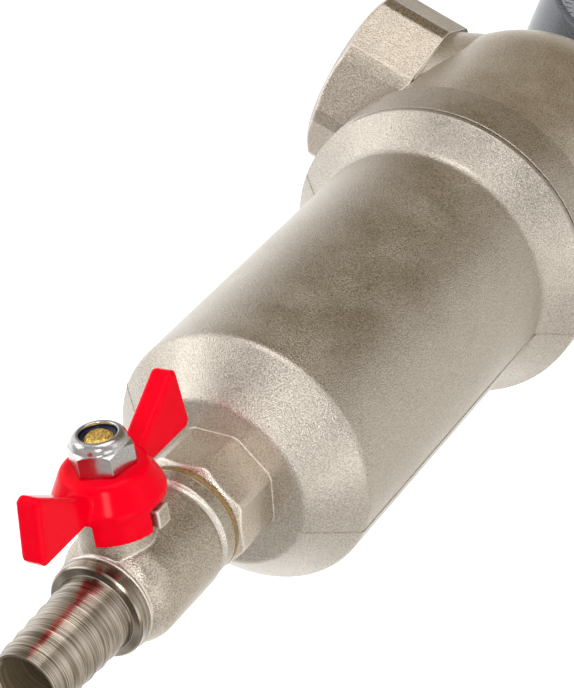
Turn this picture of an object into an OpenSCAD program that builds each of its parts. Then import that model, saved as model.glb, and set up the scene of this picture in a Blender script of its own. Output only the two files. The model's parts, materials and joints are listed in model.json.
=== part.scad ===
// Self cleaning water filter: a cast tee head with octagonal pipe ports, a screwed-on bowl
// that holds a tubular screen, a pressure gauge on top and a drain ball valve underneath.
// Millimetres. The origin is the centre of the inlet port's mouth, +X runs along the pipe
// to the outlet, +Z is up and the front of the gauge and of the drain handle faces -Y.

/* [Head casting] */
// Length of the head over the two port faces
face_to_face = 83.2; // [80:0.2:96]
// Size across the flats of the octagonal ports
port_af = 38; // [36:0.5:42]
// Length of the octagonal flats on each port
port_flat_len = 16.2; // [12:0.2:18]
// Radius of the port thread at its crests, for a one inch pipe thread
port_thread_r = 15.15; // [13:0.05:15.6]
// Depth of the port thread
port_thread_len = 14; // [10:0.5:15]
// Radius of the water passage behind the port thread
waterway_r = 11; // [8:0.5:12]
// Radius of the upright barrel and of its domed top
barrel_r = 29.2; // [28:0.2:30.6]
// Wall of the barrel and dome
head_wall = 4; // [3:0.25:5]
// Radius of the collar that takes the bowl
collar_r = 31.8; // [31.4:0.2:36]
// Drop from the pipe axis to the top of the collar
collar_top_drop = 27.2; // [24:0.2:28]
// Drop from the pipe axis to the joint between head and bowl
joint_drop = 37.6; // [37:0.2:42]
// Width of the joint line between the collar and the bowl flange
joint_gap = 0.3; // [0.1:0.05:0.6]
// Wall of the inner duct that leads the clean water to the outlet
duct_wall = 3; // [2:0.25:4]
// Radius of the throat under the duct
throat_r = 8.8; // [7:0.2:9.2]
// Drop from the pipe axis to the lower end of the throat
throat_drop = 30; // [29:0.25:33]

/* [Bowl] */
// Outer radius of the bowl
bowl_r = 25.6; // [24:0.2:26.4]
// Wall of the bowl
bowl_wall = 3; // [2:0.25:3.5]
// Step from the collar in to the flange under the joint
flange_step = 0.1; // [0:0.05:0.4]
// Height of the straight rim of the flange
flange_rim = 1; // [0.5:0.25:2]
// Radius of the hollow fillet from flange to bowl
flange_fillet = 3; // [1.5:0.25:4]
// Radius of the screw joint between bowl and head
bowl_thread_r = 27.5; // [27:0.1:28]
// Length of the screw joint
bowl_thread_len = 8; // [6:0.5:9]
// Thickness of the flat gasket in the joint
gasket_t = 1.6; // [1:0.1:2.4]
// Height of the screen's end plate over the start of the bowl's coned floor
screen_foot = 3.1; // [2:0.1:8]
// Rounding of the shoulder
shoulder_round = 2.2; // [1:0.2:3.5]
// Slope of the bottom cone from level, in degrees
bottom_slope = 45; // [40:1:50]
// Slope of the coned floor inside the bowl
floor_slope = 38; // [30:1:40]
// Fall from the end of the bowl's straight side to the flat under it
bottom_fall = 9.7; // [8.5:0.1:11]
// Rounding between the bottom cone and that flat
bottom_round = 2.5; // [1.5:0.5:4]

/* [Drain boss] */
// Size across the flats of the drain octagon
drain_af = 22; // [21:0.25:25]
// Length of the drain octagon
drain_boss_len = 11.5; // [10.5:0.25:16]
// Radius of the drain valve's thread
drain_thread_r = 8.25; // [7.8:0.05:8.6]
// Length of the drain valve's thread
drain_thread_len = 10; // [7:0.5:10.5]

/* [Screen] */
// Radius of the fine mesh sleeve
mesh_r = 16.4; // [15.8:0.1:18]
// Thickness of the fine mesh sleeve
mesh_t = 0.4; // [0.2:0.1:0.6]
// Wall of the support cage
cage_t = 1; // [0.6:0.1:1.5]
// Number of windows around the support cage
cage_windows = 8; // [6:2:12]
// Number of rows of windows along the support cage
cage_rows = 5; // [3:1:8]
// Width of the bars between the windows
cage_bar = 3; // [2:0.25:4]
// Length of the screen between its end rings
screen_len = 71; // [60:0.5:84]
// Height of the upper end ring
top_ring_h = 10; // [9:0.5:12]
// Thickness of the lower end plate
end_plate_t = 3; // [2:0.25:4]
// Section radius of the throat's sealing ring
throat_seal_r = 0.9; // [0.6:0.05:1.1]

/* [Gauge] */
// Height of the gauge's axis over its seat
gauge_rise = 32; // [30:0.2:40]
// Outer radius of the gauge case
case_r = 24.5; // [23.5:0.25:25]
// Wall of the gauge case
case_wall = 1.7; // [1.2:0.1:2]
// Depth of the case in front of the stem axis
case_front = 11; // [10.5:0.25:14]
// Depth of the case behind the stem axis
case_back = 15; // [12:0.25:18]
// Thickness of the clear window
window_t = 1.6; // [1:0.1:2]
// Radius of the dial
dial_r = 21.5; // [19:0.25:21.75]
// Thickness of the dial
dial_t = 0.5; // [0.3:0.1:0.6]
// Height of the gauge boss's seat over the top of the dome
gauge_boss_h = 2.2; // [1:0.1:4]
// Radius of the gauge boss
gauge_boss_r = 10; // [8.5:0.25:12]
// Radius of the gauge thread
gauge_thread_r = 5.7; // [5:0.05:6.2]
// Length of the gauge thread
gauge_thread_len = 13; // [9:0.5:13]
// Thickness of the gauge's sealing washer
gauge_washer_t = 1.5; // [1:0.1:2]
// Size across the flats of the gauge stem's hexagon
gauge_hex_af = 14; // [13:0.5:17]

/* [Gauge movement] */
// Mean radius of the curved pressure tube
tube_r = 16.5; // [16:0.1:17]
// Sweep of the curved pressure tube in degrees
tube_sweep = 250; // [248:1:252]
// Thickness of the flattened pressure tube
tube_t = 2.4; // [1.6:0.1:2.6]
// Width of the flattened pressure tube
tube_w = 7; // [5:0.25:7.5]
// Wall of the pressure tube
tube_wall = 0.4; // [0.3:0.05:0.6]
// Size of the gear teeth, as pitch diameter over tooth count
gear_module = 0.2; // [0.19:0.005:0.205]
// Teeth on the pinion
pinion_teeth = 12; // [12:1:14]
// Teeth that a full circle of the sector would have
sector_teeth = 100; // [96:1:104]
// Turn of the pointer over the whole scale, in degrees
pointer_sweep = 270; // [180:5:270]
// Direction of the pointer at zero, in degrees from the right
pointer_zero = 225; // [200:5:250]
// Length of the pointer from its axis
pointer_len = 17; // [12:0.5:19]
// Length of the sector's tail
tail_len = 4.5; // [4:0.1:4.8]

/* [Drain valve] */
// Turn of the valve about the bowl's axis, in degrees from the front
valve_turn = -27; // [-60:1:60]
// Thickness of the joint seal under the drain octagon
joint_seal_t = 1.4; // [0.8:0.1:2]
// Outer radius of that joint seal
joint_seal_r = 10.8; // [10:0.1:11]
// Height from the ball's centre to the seal's face
valve_top = 18.5; // [18:0.25:22]
// Outer radius of the valve body
valve_r = 11; // [10.6:0.1:12]
// Radius of the collar at the top of the valve body
valve_collar_r = 10.7; // [10:0.1:11]
// Height of that collar
valve_collar_h = 3; // [2:0.25:4]
// Drop from the ball's centre to the lower end of the valve body
valve_end = 7.1; // [6.8:0.1:9]
// Radius of the lower end of the valve body
valve_end_r = 9.4; // [9.2:0.1:10.4]
// Radius of the ball
ball_r = 6.2; // [5.8:0.1:6.4]
// Radius of the bore through the ball
ball_bore_r = 4; // [3:0.1:4.2]
// Width of each ball seat along the pipe
seat_w = 2.4; // [1.8:0.1:2.8]
// Radius of the screw joint of the hose tail
tail_thread_r = 7.6; // [7.4:0.05:7.8]

/* [Hose tail] */
// Radius of the hose tail's flange
tail_flange_r = 9.1; // [8.5:0.1:10]
// Thickness of the hose tail's flange
tail_flange_t = 2.85; // [2:0.05:4]
// Length of the barbed part
barb_len = 21.6; // [18:0.2:30]
// Radius of the barbs next to the flange
barb_root_r = 7.4; // [7:0.1:8.2]
// Radius of the barbs at the free end
barb_end_r = 6.7; // [6.4:0.1:7]
// Number of barbs
barb_count = 6; // [4:1:8]
// Depth of each barb's step
barb_step = 0.45; // [0.2:0.05:0.6]
// Radius of the bore through the hose tail
tail_bore_r = 5.3; // [4.4:0.1:5.5]

/* [Stem and handle] */
// Radius of the stem
stem_r = 3.5; // [3.2:0.05:3.8]
// Radius of the stem's thread
stem_thread_r = 2.95; // [2.5:0.05:3]
// Size across the two flats of the stem under the nut
stem_flats = 4.4; // [4:0.1:4.8]
// Radius of the neck round the stem
neck_r = 6.6; // [6:0.1:6.8]
// Height of the neck's top over the ball's centre
neck_top = 16.4; // [15.4:0.1:16.6]
// Reach of the stop lugs from the stem's axis
lug_reach = 10.3; // [9.8:0.1:10.6]
// Width of each stop lug
lug_w = 3.2; // [2.4:0.1:3.6]
// Height of the handle's seat for the nut over the ball's centre
hub_top = 23.6; // [23:0.1:26]
// Radius of the handle's hub at the top
hub_top_r = 8.1; // [7.5:0.1:8.6]
// Radius of the handle's hub at the bottom
hub_r = 9.8; // [9.6:0.1:11]
// Height of the lower edge of the hub over the ball's centre
hub_bottom = 17.2; // [17.1:0.1:17.6]
// Thickness of the hub's top plate
hub_plate = 4.6; // [3.5:0.1:5]
// Wall of the hub's skirt
hub_wall = 1.8; // [1.4:0.1:2]
// Height of the lower edge of the stop tongue over the ball's centre
tongue_bottom = 13; // [12.4:0.1:13.6]
// Turn of the handle from open to closed, in degrees
handle_turn = 90; // [80:5:90]
// Reach of the wings from the stem's axis
wing_reach = 23.5; // [20:0.5:30]
// Height of the wings' lower tip over the ball's centre
wing_low = 17.6; // [17.5:0.1:18.6]
// Height of the wings' upper tip over the ball's centre
wing_high = 30.6; // [28:0.1:33]
// Thickness of the wings at their tips
wing_t = 4.6; // [3:0.1:5]
// Size across the flats of the nut
nut_af = 10; // [9:0.5:11]
// Height of the nut
nut_h = 6; // [5:0.25:7]

/* [Clearances] */
// Radial gap in the screw joints
thread_gap = 0.05; // [0.02:0.01:0.1]
// Radial gap of turning and plug fits
run_gap = 0.05; // [0.02:0.01:0.08]
// Gap between the ball and its seats
ball_gap = 0.1; // [0.05:0.01:0.15]
// Angle left between the stop tongue and each lug, in degrees
stop_gap = 1.5; // [1:0.25:3]

/* [Hidden] */
$fn = 96;

// Cut length that runs past a face, and the bite of pieces that are joined into one solid
past = 1;
bite = 0.5;

// Places along the main axis
axis_x = face_to_face / 2;
joint_z = -joint_drop;
collar_top_z = -collar_top_drop;
spigot_top_z = joint_z + bowl_thread_len;
seat_z = spigot_top_z + gasket_t;
screen_top_z = -throat_drop + 3 - top_ring_h;
screen_low_z = screen_top_z - screen_len;
shoulder_z = screen_low_z - end_plate_t - screen_foot - bowl_wall;
bottom_z = shoulder_z - bottom_fall;
drain_end_z = bottom_z - drain_boss_len;
ball_z = drain_end_z - joint_seal_t - valve_top;
gauge_seat_z = barrel_r + gauge_boss_h;
gauge_z = gauge_seat_z + gauge_rise;

// Head
chamber_r = barrel_r - head_wall;
port_corner_cut = 0.75;
port_chamfer = 1.2;
flare_r = port_af / 2 - 0.6;
flare_grow = 3.6;
flare_len = 7;
duct_r = waterway_r + duct_wall;
throat_outer_r = throat_r + duct_wall + 0.2;
gauge_boss_in = gauge_seat_z - gauge_thread_len - 1;
collar_edge = 0.6;
boss_edge = 0.8;

// Bowl
flange_r = collar_r - flange_step;
bowl_in_r = bowl_r - bowl_wall;
rim_z = joint_z - flange_rim;
fillet_x = bowl_r + flange_fillet;
fillet_z = rim_z + fillet_x - flange_r - flange_fillet * sqrt(2);
slope_down = [sin(bottom_slope), -cos(bottom_slope)];
cone_top = [bowl_r - shoulder_round, shoulder_z] + shoulder_round * slope_down;
round_c_z = bottom_z + bottom_round;
round_c_x = cone_top[0] - bottom_round * slope_down[0]
    - (cone_top[1] - bottom_round * slope_down[1] - round_c_z) / tan(bottom_slope);
bowl_floor_z = shoulder_z + bowl_wall;
drain_bore_r = drain_thread_r + thread_gap;
drain_corner_cut = 0.5;
arc_steps = 10;

// Screen
ring_r = mesh_r + 1;
cage_r = mesh_r - mesh_t - run_gap;
cage_in_r = cage_r - cage_t;
seal_mid_r = throat_outer_r + run_gap + throat_seal_r;
seal_z = -throat_drop + 1.4;
foot_w = 3;
foot_count = 4;
foot_in_r = 11;

// Gauge, in its own frame: x to the right, y up and z out of the dial
hex_z = gauge_seat_z + gauge_washer_t;
hex_top_z = gauge_z - case_r - 0.4;
gauge_bore_r = 1.5;
case_in_r = case_r - case_wall;
window_r = case_in_r + 0.45;
window_z = case_front - window_t - 1;
tube_start = -69;
block_top = -10.4;
block_low = -20.4;
block_half = 5.5;
block_back = 9;
tube_z = -block_back + tube_w / 2 + 0.8;
plate_t = 0.9;
sector_z = 1.5;
sector_t = 0.8;
link_z = 2.5;
link_t = 0.6;
front_plate_z = 3.4;
dial_z = front_plate_z + plate_t;
gauge_neck_r = dial_z - 0.3;
pointer_z = dial_z + dial_t + 1;
arbor_r = 0.6;
arbor_hole_r = arbor_r + run_gap;
pinion_r = gear_module * pinion_teeth / 2;
sector_r = gear_module * sector_teeth / 2;
mesh_dir = 45;
sector_turn = pointer_sweep * pinion_teeth / sector_teeth;
sector_at = -(pinion_r + sector_r) * [cos(mesh_dir), sin(mesh_dir)];
tail_dir = 180 - sector_turn / 2;
tail_pin = sector_at + tail_len * [cos(tail_dir), sin(tail_dir)];
tail_drop = 2 * tail_len * sin(sector_turn / 2);
tip_pin = [tail_pin[0], 1.2];
link_pin_r = 0.4;
link_hole_r = link_pin_r + run_gap;
link_slot_r = link_pin_r + 0.35;
link_half = 1.3;
tip_angle = tube_start + tube_sweep;
pillars_at = [[4.4, -9.4], [3.4, 4.4], [-9.4, -1.4]];
pillar_r = 0.8;
dial_screws_at = [[5, -4.5], [-2.5, 4.6]];
movement_screws_at = [[-2.8, -14.6], [2.8, -14.6]];
plate_outline = [
    [-5, -17], [5, -17], [6.6, -9], [5.2, 6.2], [-4.2, 6.2], [-11, -0.4], [-10.2, -10]
];

// Drain valve, in its own frame: the ball's centre is the origin and the stem points to -y
valve_bore_r = ball_bore_r + 0.2;
seat_pocket_r = ball_r + 0.35;
seat_far = ball_r - 0.8;
seat_near = seat_far - seat_w;
body_groove = 0.5;
tail_root_z = -valve_end - tail_flange_t;
barb_pitch = barb_len / barb_count;

// Stem and handle, with z out along the stem and y up along the pipe
slot_depth = 2;
slot_w = 2.4;
tang_gap = 0.1;
tang_r = seat_near - 0.2;
stem_head_r = stem_r + 0.8;
stem_head_z = seat_pocket_r + 0.1;
stem_head_t = 1.4;
stem_washer_t = 0.8;
cup_top = -stem_head_r - 0.3;
pocket_r = stem_head_r + run_gap;
pocket_top = stem_head_z + stem_head_t + stem_washer_t;
stem_end = hub_top + nut_h - 0.5;
groove_r = stem_r - 0.9;
ring_section = (stem_r - groove_r) / 2;
rings_at = [pocket_top + 1.5, pocket_top + 3.9];
hub_roof = hub_top - hub_plate;
hub_in_r = hub_r - hub_wall;
lug_top = hub_bottom - 0.4;
lug_low = lug_top - 3.4;
lug_half_angle = asin(lug_w / 2 / hub_in_r);
tongue_angle = 180 - 2 * lug_half_angle - handle_turn - 2 * stop_gap;
tongue_inset = 0.15;
tongue_start = -lug_half_angle - stop_gap - tongue_angle;
wing_corner = 1.4;
wing_edge = 0.7;
hub_round = 1.8;
wing_lean = 1.8;
insert_r = 4.1;
insert_t = 1.2;
insert_recess = 0.5;
nut_lip_r = nut_af / 2 - 0.4;

// Points of an arc about c from angle a to angle b
function arc(c, r, a, b) = [
    for (i = [0:arc_steps]) c + polar(r, a + (b - a) * i / arc_steps)
];

// Point at distance d from p on the way to q
function toward(p, q, d) = p + d * (q - p) / norm(q - p);

// Point at radius r and angle a
function polar(r, a) = [r * cos(a), r * sin(a)];

// Ring on the z axis from height z upwards
module ring(r_out, r_in, z, h) {
    translate([0, 0, z])
        rotate_extrude()
            translate([r_in, 0])
                square([r_out - r_in, h]);
}

// Round ring of round section
module o_ring(mid_r, section_r, z) {
    translate([0, 0, z])
        rotate_extrude()
            translate([mid_r, 0])
                circle(section_r, $fn = 32);
}

// Octagonal bar along z with turned corners and a turned chamfer at its far end
module octagon_bar(af, len, corner_cut, chamfer) {
    corner_r = af / 2 / cos(180 / 8);
    turned_r = corner_r - corner_cut * (corner_r - af / 2) / 2;
    intersection() {
        cylinder(r = corner_r, h = len, $fn = 8);
        union() {
            cylinder(r = turned_r, h = len - chamfer);
            translate([0, 0, len - chamfer])
                cylinder(r1 = turned_r, r2 = turned_r - chamfer * 1.5, h = chamfer);
        }
    }
}

// Hexagonal bar along z
module hexagon_bar(af, h) {
    cylinder(r = af / 2 / cos(30), h = h, $fn = 6);
}

// Places children on the axis of head and bowl
module on_axis() {
    translate([axis_x, 0, 0]) children();
}

// Places children in the gauge's frame
module in_gauge() {
    translate([axis_x, 0, gauge_z]) rotate([90, 0, 0]) children();
}

// Places children in the drain valve's frame
module in_valve() {
    translate([axis_x, 0, ball_z]) rotate([0, 0, valve_turn]) children();
}

// Places children in the stem's frame
module in_stem() {
    in_valve() rotate([90, 0, 0]) children();
}

// Outline of barrel, dome, collar and gauge boss on one side of the axis
module head_outline() {
    difference() {
        union() {
            intersection() {
                circle(barrel_r);
                square([barrel_r + past, barrel_r + past]);
            }
            translate([0, collar_top_z - bite]) square([barrel_r, collar_top_drop + 2 * bite]);
            polygon([
                [0, joint_z + joint_gap],
                [collar_r, joint_z + joint_gap],
                [collar_r, collar_top_z - collar_edge],
                [collar_r - collar_edge, collar_top_z],
                [0, collar_top_z]
            ]);
            polygon([
                [0, barrel_r - head_wall],
                [gauge_boss_r, barrel_r - head_wall],
                [gauge_boss_r, gauge_seat_z - boss_edge],
                [gauge_boss_r - boss_edge, gauge_seat_z],
                [0, gauge_seat_z]
            ]);
        }
        translate([-past, -joint_drop - past]) square([past, joint_drop + gauge_seat_z + 2 * past]);
    }
}

// Outline of the chamber round the duct, with the seat for the bowl's gasket
module chamber_outline() {
    intersection() {
        circle(chamber_r);
        square([chamber_r + past, chamber_r + past]);
    }
    translate([0, seat_z - bite]) square([chamber_r, bite - seat_z + bite]);
    translate([0, joint_z - past]) square([bowl_thread_r + thread_gap, seat_z - joint_z + past]);
}

// One pipe port along +x from the main axis, before it is drilled
module port() {
    inner = axis_x - port_flat_len;
    translate([inner, 0, 0])
        rotate([0, 90, 0])
            octagon_bar(port_af, port_flat_len, port_corner_cut, port_chamfer);
    translate([inner - flare_len, 0, 0])
        rotate([0, 90, 0])
            cylinder(r1 = flare_r + flare_grow, r2 = flare_r, h = flare_len + bite);
}

// Thread and passage of one port along +x from the main axis
module port_bore(from) {
    translate([axis_x - port_thread_len, 0, 0])
        rotate([0, 90, 0])
            cylinder(r = port_thread_r, h = port_thread_len + past);
    translate([from, 0, 0])
        rotate([0, 90, 0])
            cylinder(r = waterway_r, h = axis_x - from - port_thread_len + bite);
}

// Duct that turns the clean water from the throat to the outlet
module duct() {
    rotate([0, 90, 0])
        rotate_extrude()
            union() {
                square([duct_r, barrel_r - head_wall / 2]);
                intersection() {
                    circle(duct_r);
                    translate([0, -duct_r]) square([duct_r, duct_r + bite]);
                }
            }
    translate([0, 0, -throat_drop]) cylinder(r = throat_outer_r, h = throat_drop);
}

// Cast head with both ports, the inner duct and the gauge boss
module head() {
    color("#a8a294")
        on_axis()
            difference() {
                union() {
                    difference() {
                        union() {
                            rotate_extrude() head_outline();
                            port();
                            mirror([1, 0, 0]) port();
                        }
                        rotate_extrude() chamber_outline();
                    }
                    duct();
                    translate([0, 0, gauge_boss_in])
                        cylinder(r = gauge_boss_r - 1, h = barrel_r - gauge_boss_in);
                }
                port_bore(0);
                mirror([1, 0, 0]) port_bore(barrel_r - head_wall - 9);
                sphere(waterway_r);
                translate([0, 0, -throat_drop - past]) cylinder(r = throat_r, h = throat_drop + past);
                translate([0, 0, gauge_boss_in - past])
                    cylinder(r = gauge_thread_r + thread_gap, h = gauge_seat_z - gauge_boss_in + 2 * past);
            }
}

// Outer outline of the bowl on one side of the axis, from the flange to the flat bottom
module bowl_outline() {
    polygon(concat(
        [[0, joint_z], [flange_r, joint_z], [flange_r, rim_z]],
        arc([fillet_x, fillet_z], flange_fillet, 135, 180),
        arc([bowl_r - shoulder_round, shoulder_z], shoulder_round, 0, bottom_slope - 90),
        arc([round_c_x, round_c_z], bottom_round, bottom_slope - 90, -90),
        [[0, bottom_z]]
    ));
}

// Hollow of the bowl on one side of the axis, with a coned floor
module bowl_hollow() {
    fall = (bowl_in_r - drain_bore_r) * tan(floor_slope);
    polygon([
        [0, spigot_top_z + past],
        [bowl_in_r, spigot_top_z + past],
        [bowl_in_r, bowl_floor_z],
        [drain_bore_r, bowl_floor_z - fall],
        [0, bowl_floor_z - fall]
    ]);
}

// Screwed-on bowl with its octagonal drain boss
module bowl() {
    color("#aaa396")
        on_axis()
            difference() {
                union() {
                    rotate_extrude() bowl_outline();
                    translate([0, 0, joint_z - bite])
                        cylinder(r = bowl_thread_r, h = bowl_thread_len + bite);
                    translate([0, 0, bottom_z + bite])
                        mirror([0, 0, 1])
                            octagon_bar(drain_af, drain_boss_len + bite, drain_corner_cut, 0.8);
                }
                rotate_extrude() bowl_hollow();
                translate([0, 0, drain_end_z - past])
                    cylinder(r = drain_bore_r, h = drain_boss_len + past + bowl_wall * 3);
            }
}

// Flat gasket between the bowl's spigot and the seat in the head
module bowl_gasket() {
    color("#2b2b2c")
        on_axis()
            ring(bowl_thread_r - run_gap, bowl_in_r + 1, spigot_top_z, gasket_t);
}

// Fine mesh sleeve
module screen_mesh() {
    color("#c9ccd0")
        on_axis()
            ring(mesh_r, mesh_r - mesh_t, screen_low_z, screen_len);
}

// Support cage inside the mesh, a tube cut into bars and hoops
module screen_cage() {
    row = screen_len / cage_rows;
    wide = 2 * cage_in_r * sin(180 / cage_windows) - cage_bar;
    color("#b4b8bd")
        on_axis()
            difference() {
                ring(cage_r, cage_in_r, screen_low_z, screen_len);
                for (i = [0:cage_rows - 1], k = [0:cage_windows / 2 - 1])
                    translate([0, 0, screen_low_z + row * (i + 0.5)])
                        rotate([0, 0, k * 360 / cage_windows])
                            cube([2 * ring_r, wide, row - cage_bar], center = true);
            }
}

// Upper end ring, which plugs onto the throat
module screen_top_ring() {
    socket_r = throat_outer_r + run_gap;
    color("#e8e6df")
        on_axis()
            difference() {
                translate([0, 0, screen_top_z]) cylinder(r = ring_r, h = top_ring_h);
                translate([0, 0, screen_top_z - past]) cylinder(r = throat_r, h = top_ring_h + 2 * past);
                translate([0, 0, -throat_drop]) cylinder(r = socket_r, h = top_ring_h);
                ring(seal_mid_r + throat_seal_r + run_gap, socket_r - bite, seal_z - throat_seal_r - run_gap,
                    2 * (throat_seal_r + run_gap));
            }
}

// Sealing ring between the throat and the upper end ring
module throat_seal() {
    color("#232324")
        on_axis()
            o_ring(seal_mid_r, throat_seal_r, seal_z);
}

// Closed lower end plate with feet that stand on the bowl's coned floor
module screen_end_plate() {
    fall = (bowl_in_r - foot_in_r) * tan(floor_slope);
    color("#e8e6df")
        on_axis()
            union() {
                translate([0, 0, screen_low_z - end_plate_t]) cylinder(r = ring_r, h = end_plate_t);
                translate([0, 0, screen_low_z - bite]) cylinder(r = cage_in_r - run_gap, h = 3);
                intersection() {
                    rotate_extrude()
                        polygon([
                            [foot_in_r, screen_low_z - end_plate_t + bite],
                            [ring_r, screen_low_z - end_plate_t + bite],
                            [ring_r, bowl_floor_z - (bowl_in_r - ring_r) * tan(floor_slope) + run_gap],
                            [foot_in_r, bowl_floor_z - fall + run_gap]
                        ]);
                    for (k = [0:foot_count - 1])
                        rotate([0, 0, k * 360 / foot_count])
                            translate([0, -foot_w / 2, bowl_floor_z - fall])
                                cube([ring_r + past, foot_w, fall + screen_low_z - bowl_floor_z + past]);
                }
            }
}

// Sealing washer under the gauge's stem
module gauge_washer() {
    color("#b5652f")
        on_axis()
            ring(gauge_boss_r - boss_edge - 0.5, gauge_thread_r + run_gap, gauge_seat_z, gauge_washer_t);
}

// Gauge stem with thread, hexagon and the block that carries tube and movement
module gauge_socket() {
    color("#b3924c")
        difference() {
            union() {
                on_axis() {
                    translate([0, 0, gauge_seat_z - gauge_thread_len])
                        cylinder(r = gauge_thread_r, h = hex_z - gauge_seat_z + gauge_thread_len + bite);
                    translate([0, 0, hex_z]) hexagon_bar(gauge_hex_af, hex_top_z - hex_z);
                    translate([0, 0, hex_top_z - bite])
                        cylinder(r = gauge_neck_r - run_gap, h = gauge_z + block_low + 2 * bite - hex_top_z);
                }
                in_gauge()
                    translate([0, 0, -block_back])
                        linear_extrude(block_back)
                            polygon([
                                [-block_half, block_low],
                                polar(-block_low / sin(-tube_start), tube_start),
                                polar(-block_top / sin(-tube_start), tube_start),
                                [-block_half, block_top]
                            ]);
            }
            on_axis()
                translate([0, 0, gauge_seat_z - gauge_thread_len - past])
                    cylinder(r = gauge_bore_r, h = gauge_rise - tube_r + gauge_thread_len + past, $fn = 32);
            in_gauge()
                for (p = movement_screws_at)
                    translate([p[0], p[1], -5]) cylinder(r = pillar_r + run_gap, h = 5 + past, $fn = 32);
        }
}

// Cup-shaped gauge case, open at the front
module gauge_case() {
    color("#3c4148")
        difference() {
            in_gauge()
                rotate_extrude()
                    difference() {
                        union() {
                            translate([0, -case_back]) square([case_r - 1, case_back + case_front]);
                            translate([0, -case_back + 1]) square([case_r, case_back + case_front - 2]);
                            translate([case_r - 1, -case_back + 1]) circle(1, $fn = 48);
                            translate([case_r - 1, case_front - 1]) circle(1, $fn = 48);
                        }
                        translate([0, -case_back + case_wall]) square([case_in_r, case_back + case_front]);
                        translate([0, window_z]) square([window_r + run_gap, case_front]);
                        translate([-past, -case_back]) square([past, case_back + case_front]);
                    }
            on_axis()
                translate([0, 0, gauge_z - case_r - past])
                    cylinder(r = gauge_neck_r, h = case_wall + 2 * past);
        }
}

// Clear window
module gauge_window() {
    color("#c9d4e8", 0.35)
        in_gauge()
            translate([0, 0, window_z])
                cylinder(r = window_r, h = window_t);
}

// Dial plate
module gauge_dial() {
    color("#f4f4f1")
        in_gauge()
            translate([0, 0, dial_z])
                difference() {
                    cylinder(r = dial_r, h = dial_t);
                    translate([0, 0, -past]) cylinder(r = 1.5, h = dial_t + 2 * past, $fn = 32);
                    for (p = dial_screws_at)
                        translate([p[0], p[1], -past])
                            cylinder(r = arbor_r + run_gap, h = dial_t + 2 * past, $fn = 32);
                }
}

// Two screws that hold the dial on the movement
module dial_screws() {
    color("#c8c4b4")
        in_gauge()
            for (p = dial_screws_at)
                translate([p[0], p[1], 0]) {
                    translate([0, 0, front_plate_z])
                        cylinder(r = arbor_r, h = plate_t + dial_t + bite, $fn = 32);
                    translate([0, 0, dial_z + dial_t]) cylinder(r = 1.3, h = 0.6, $fn = 32);
                }
}

// Pointer with its hub and counterweight
module gauge_pointer() {
    color("#1c1c1e")
        in_gauge()
            translate([0, 0, pointer_z])
                difference() {
                    union() {
                        rotate([0, 0, pointer_zero])
                            linear_extrude(0.4)
                                polygon([
                                    [-6, -1.3], [0, -0.9], [pointer_len, -0.15],
                                    [pointer_len, 0.15], [0, 0.9], [-6, 1.3]
                                ]);
                        translate([0, 0, -0.2]) cylinder(r = 1.7, h = 1, $fn = 48);
                    }
                    translate([0, 0, -past]) cylinder(r = arbor_r, h = 2 + past, $fn = 32);
                }
}

// Flattened section of the pressure tube, rounded at both edges
module tube_section(shrink) {
    half = tube_t / 2 - shrink;
    straight = tube_w / 2 - tube_t / 2;
    translate([tube_r - half, tube_z - straight]) square([2 * half, 2 * straight]);
    for (s = [-1, 1])
        translate([tube_r, tube_z + s * straight]) circle(half, $fn = 32);
}

// Curved pressure tube that uncurls under pressure
module pressure_tube() {
    color("#b98d4a")
        in_gauge()
            rotate([0, 0, tube_start])
                rotate_extrude(angle = tube_sweep)
                    difference() {
                        tube_section(0);
                        tube_section(tube_wall);
                    }
}

// End piece of the pressure tube with the lug and pin for the link
module tube_tip() {
    deep = sector_z + sector_t - tube_z + tube_w / 2;
    color("#a98346")
        in_gauge() {
            rotate([0, 0, tip_angle])
                translate([tube_r - tube_t / 2 - 0.4, 0, tube_z - tube_w / 2])
                    cube([tube_t + 0.8, 2, deep]);
            translate([0, 0, sector_z])
                linear_extrude(sector_t)
                    union() {
                        translate(tip_pin) circle(1.1, $fn = 32);
                        polygon([
                            tip_pin + [0, 1.1], tip_pin - [0, 1.1],
                            polar(tube_r, tip_angle + 6), polar(tube_r, tip_angle + 1)
                        ]);
                    }
            translate([tip_pin[0], tip_pin[1], sector_z])
                cylinder(r = link_pin_r, h = link_z + link_t + 0.2 - sector_z, $fn = 32);
        }
}

// Link from the tube's end to the sector's tail, slotted where the tube's end rides in it
module tip_link() {
    color("#b59a5c")
        in_gauge()
            translate([0, 0, link_z])
                linear_extrude(link_t)
                    difference() {
                        union() {
                            translate(tail_pin) circle(link_half, $fn = 32);
                            translate(tip_pin + [0, tail_drop]) circle(link_half, $fn = 32);
                            translate(tail_pin - [link_half, 0])
                                square([2 * link_half, tip_pin[1] + tail_drop - tail_pin[1]]);
                        }
                        translate(tail_pin) circle(link_hole_r, $fn = 32);
                        translate(tip_pin) circle(link_slot_r, $fn = 32);
                        translate(tip_pin + [0, tail_drop]) circle(link_slot_r, $fn = 32);
                        translate(tip_pin - [link_slot_r, 0]) square([2 * link_slot_r, tail_drop]);
                    }
}

// One gear tooth that points along angle a from the gear's centre
module tooth(pitch_r, a) {
    pitch = 360 * gear_module / (2 * pitch_r);
    root = pitch_r - 1.3 * gear_module;
    tip = pitch_r + 0.8 * gear_module;
    polygon([
        polar(root, a - 0.27 * pitch), polar(tip, a - 0.1 * pitch),
        polar(tip, a + 0.1 * pitch), polar(root, a + 0.27 * pitch)
    ]);
}

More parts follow.
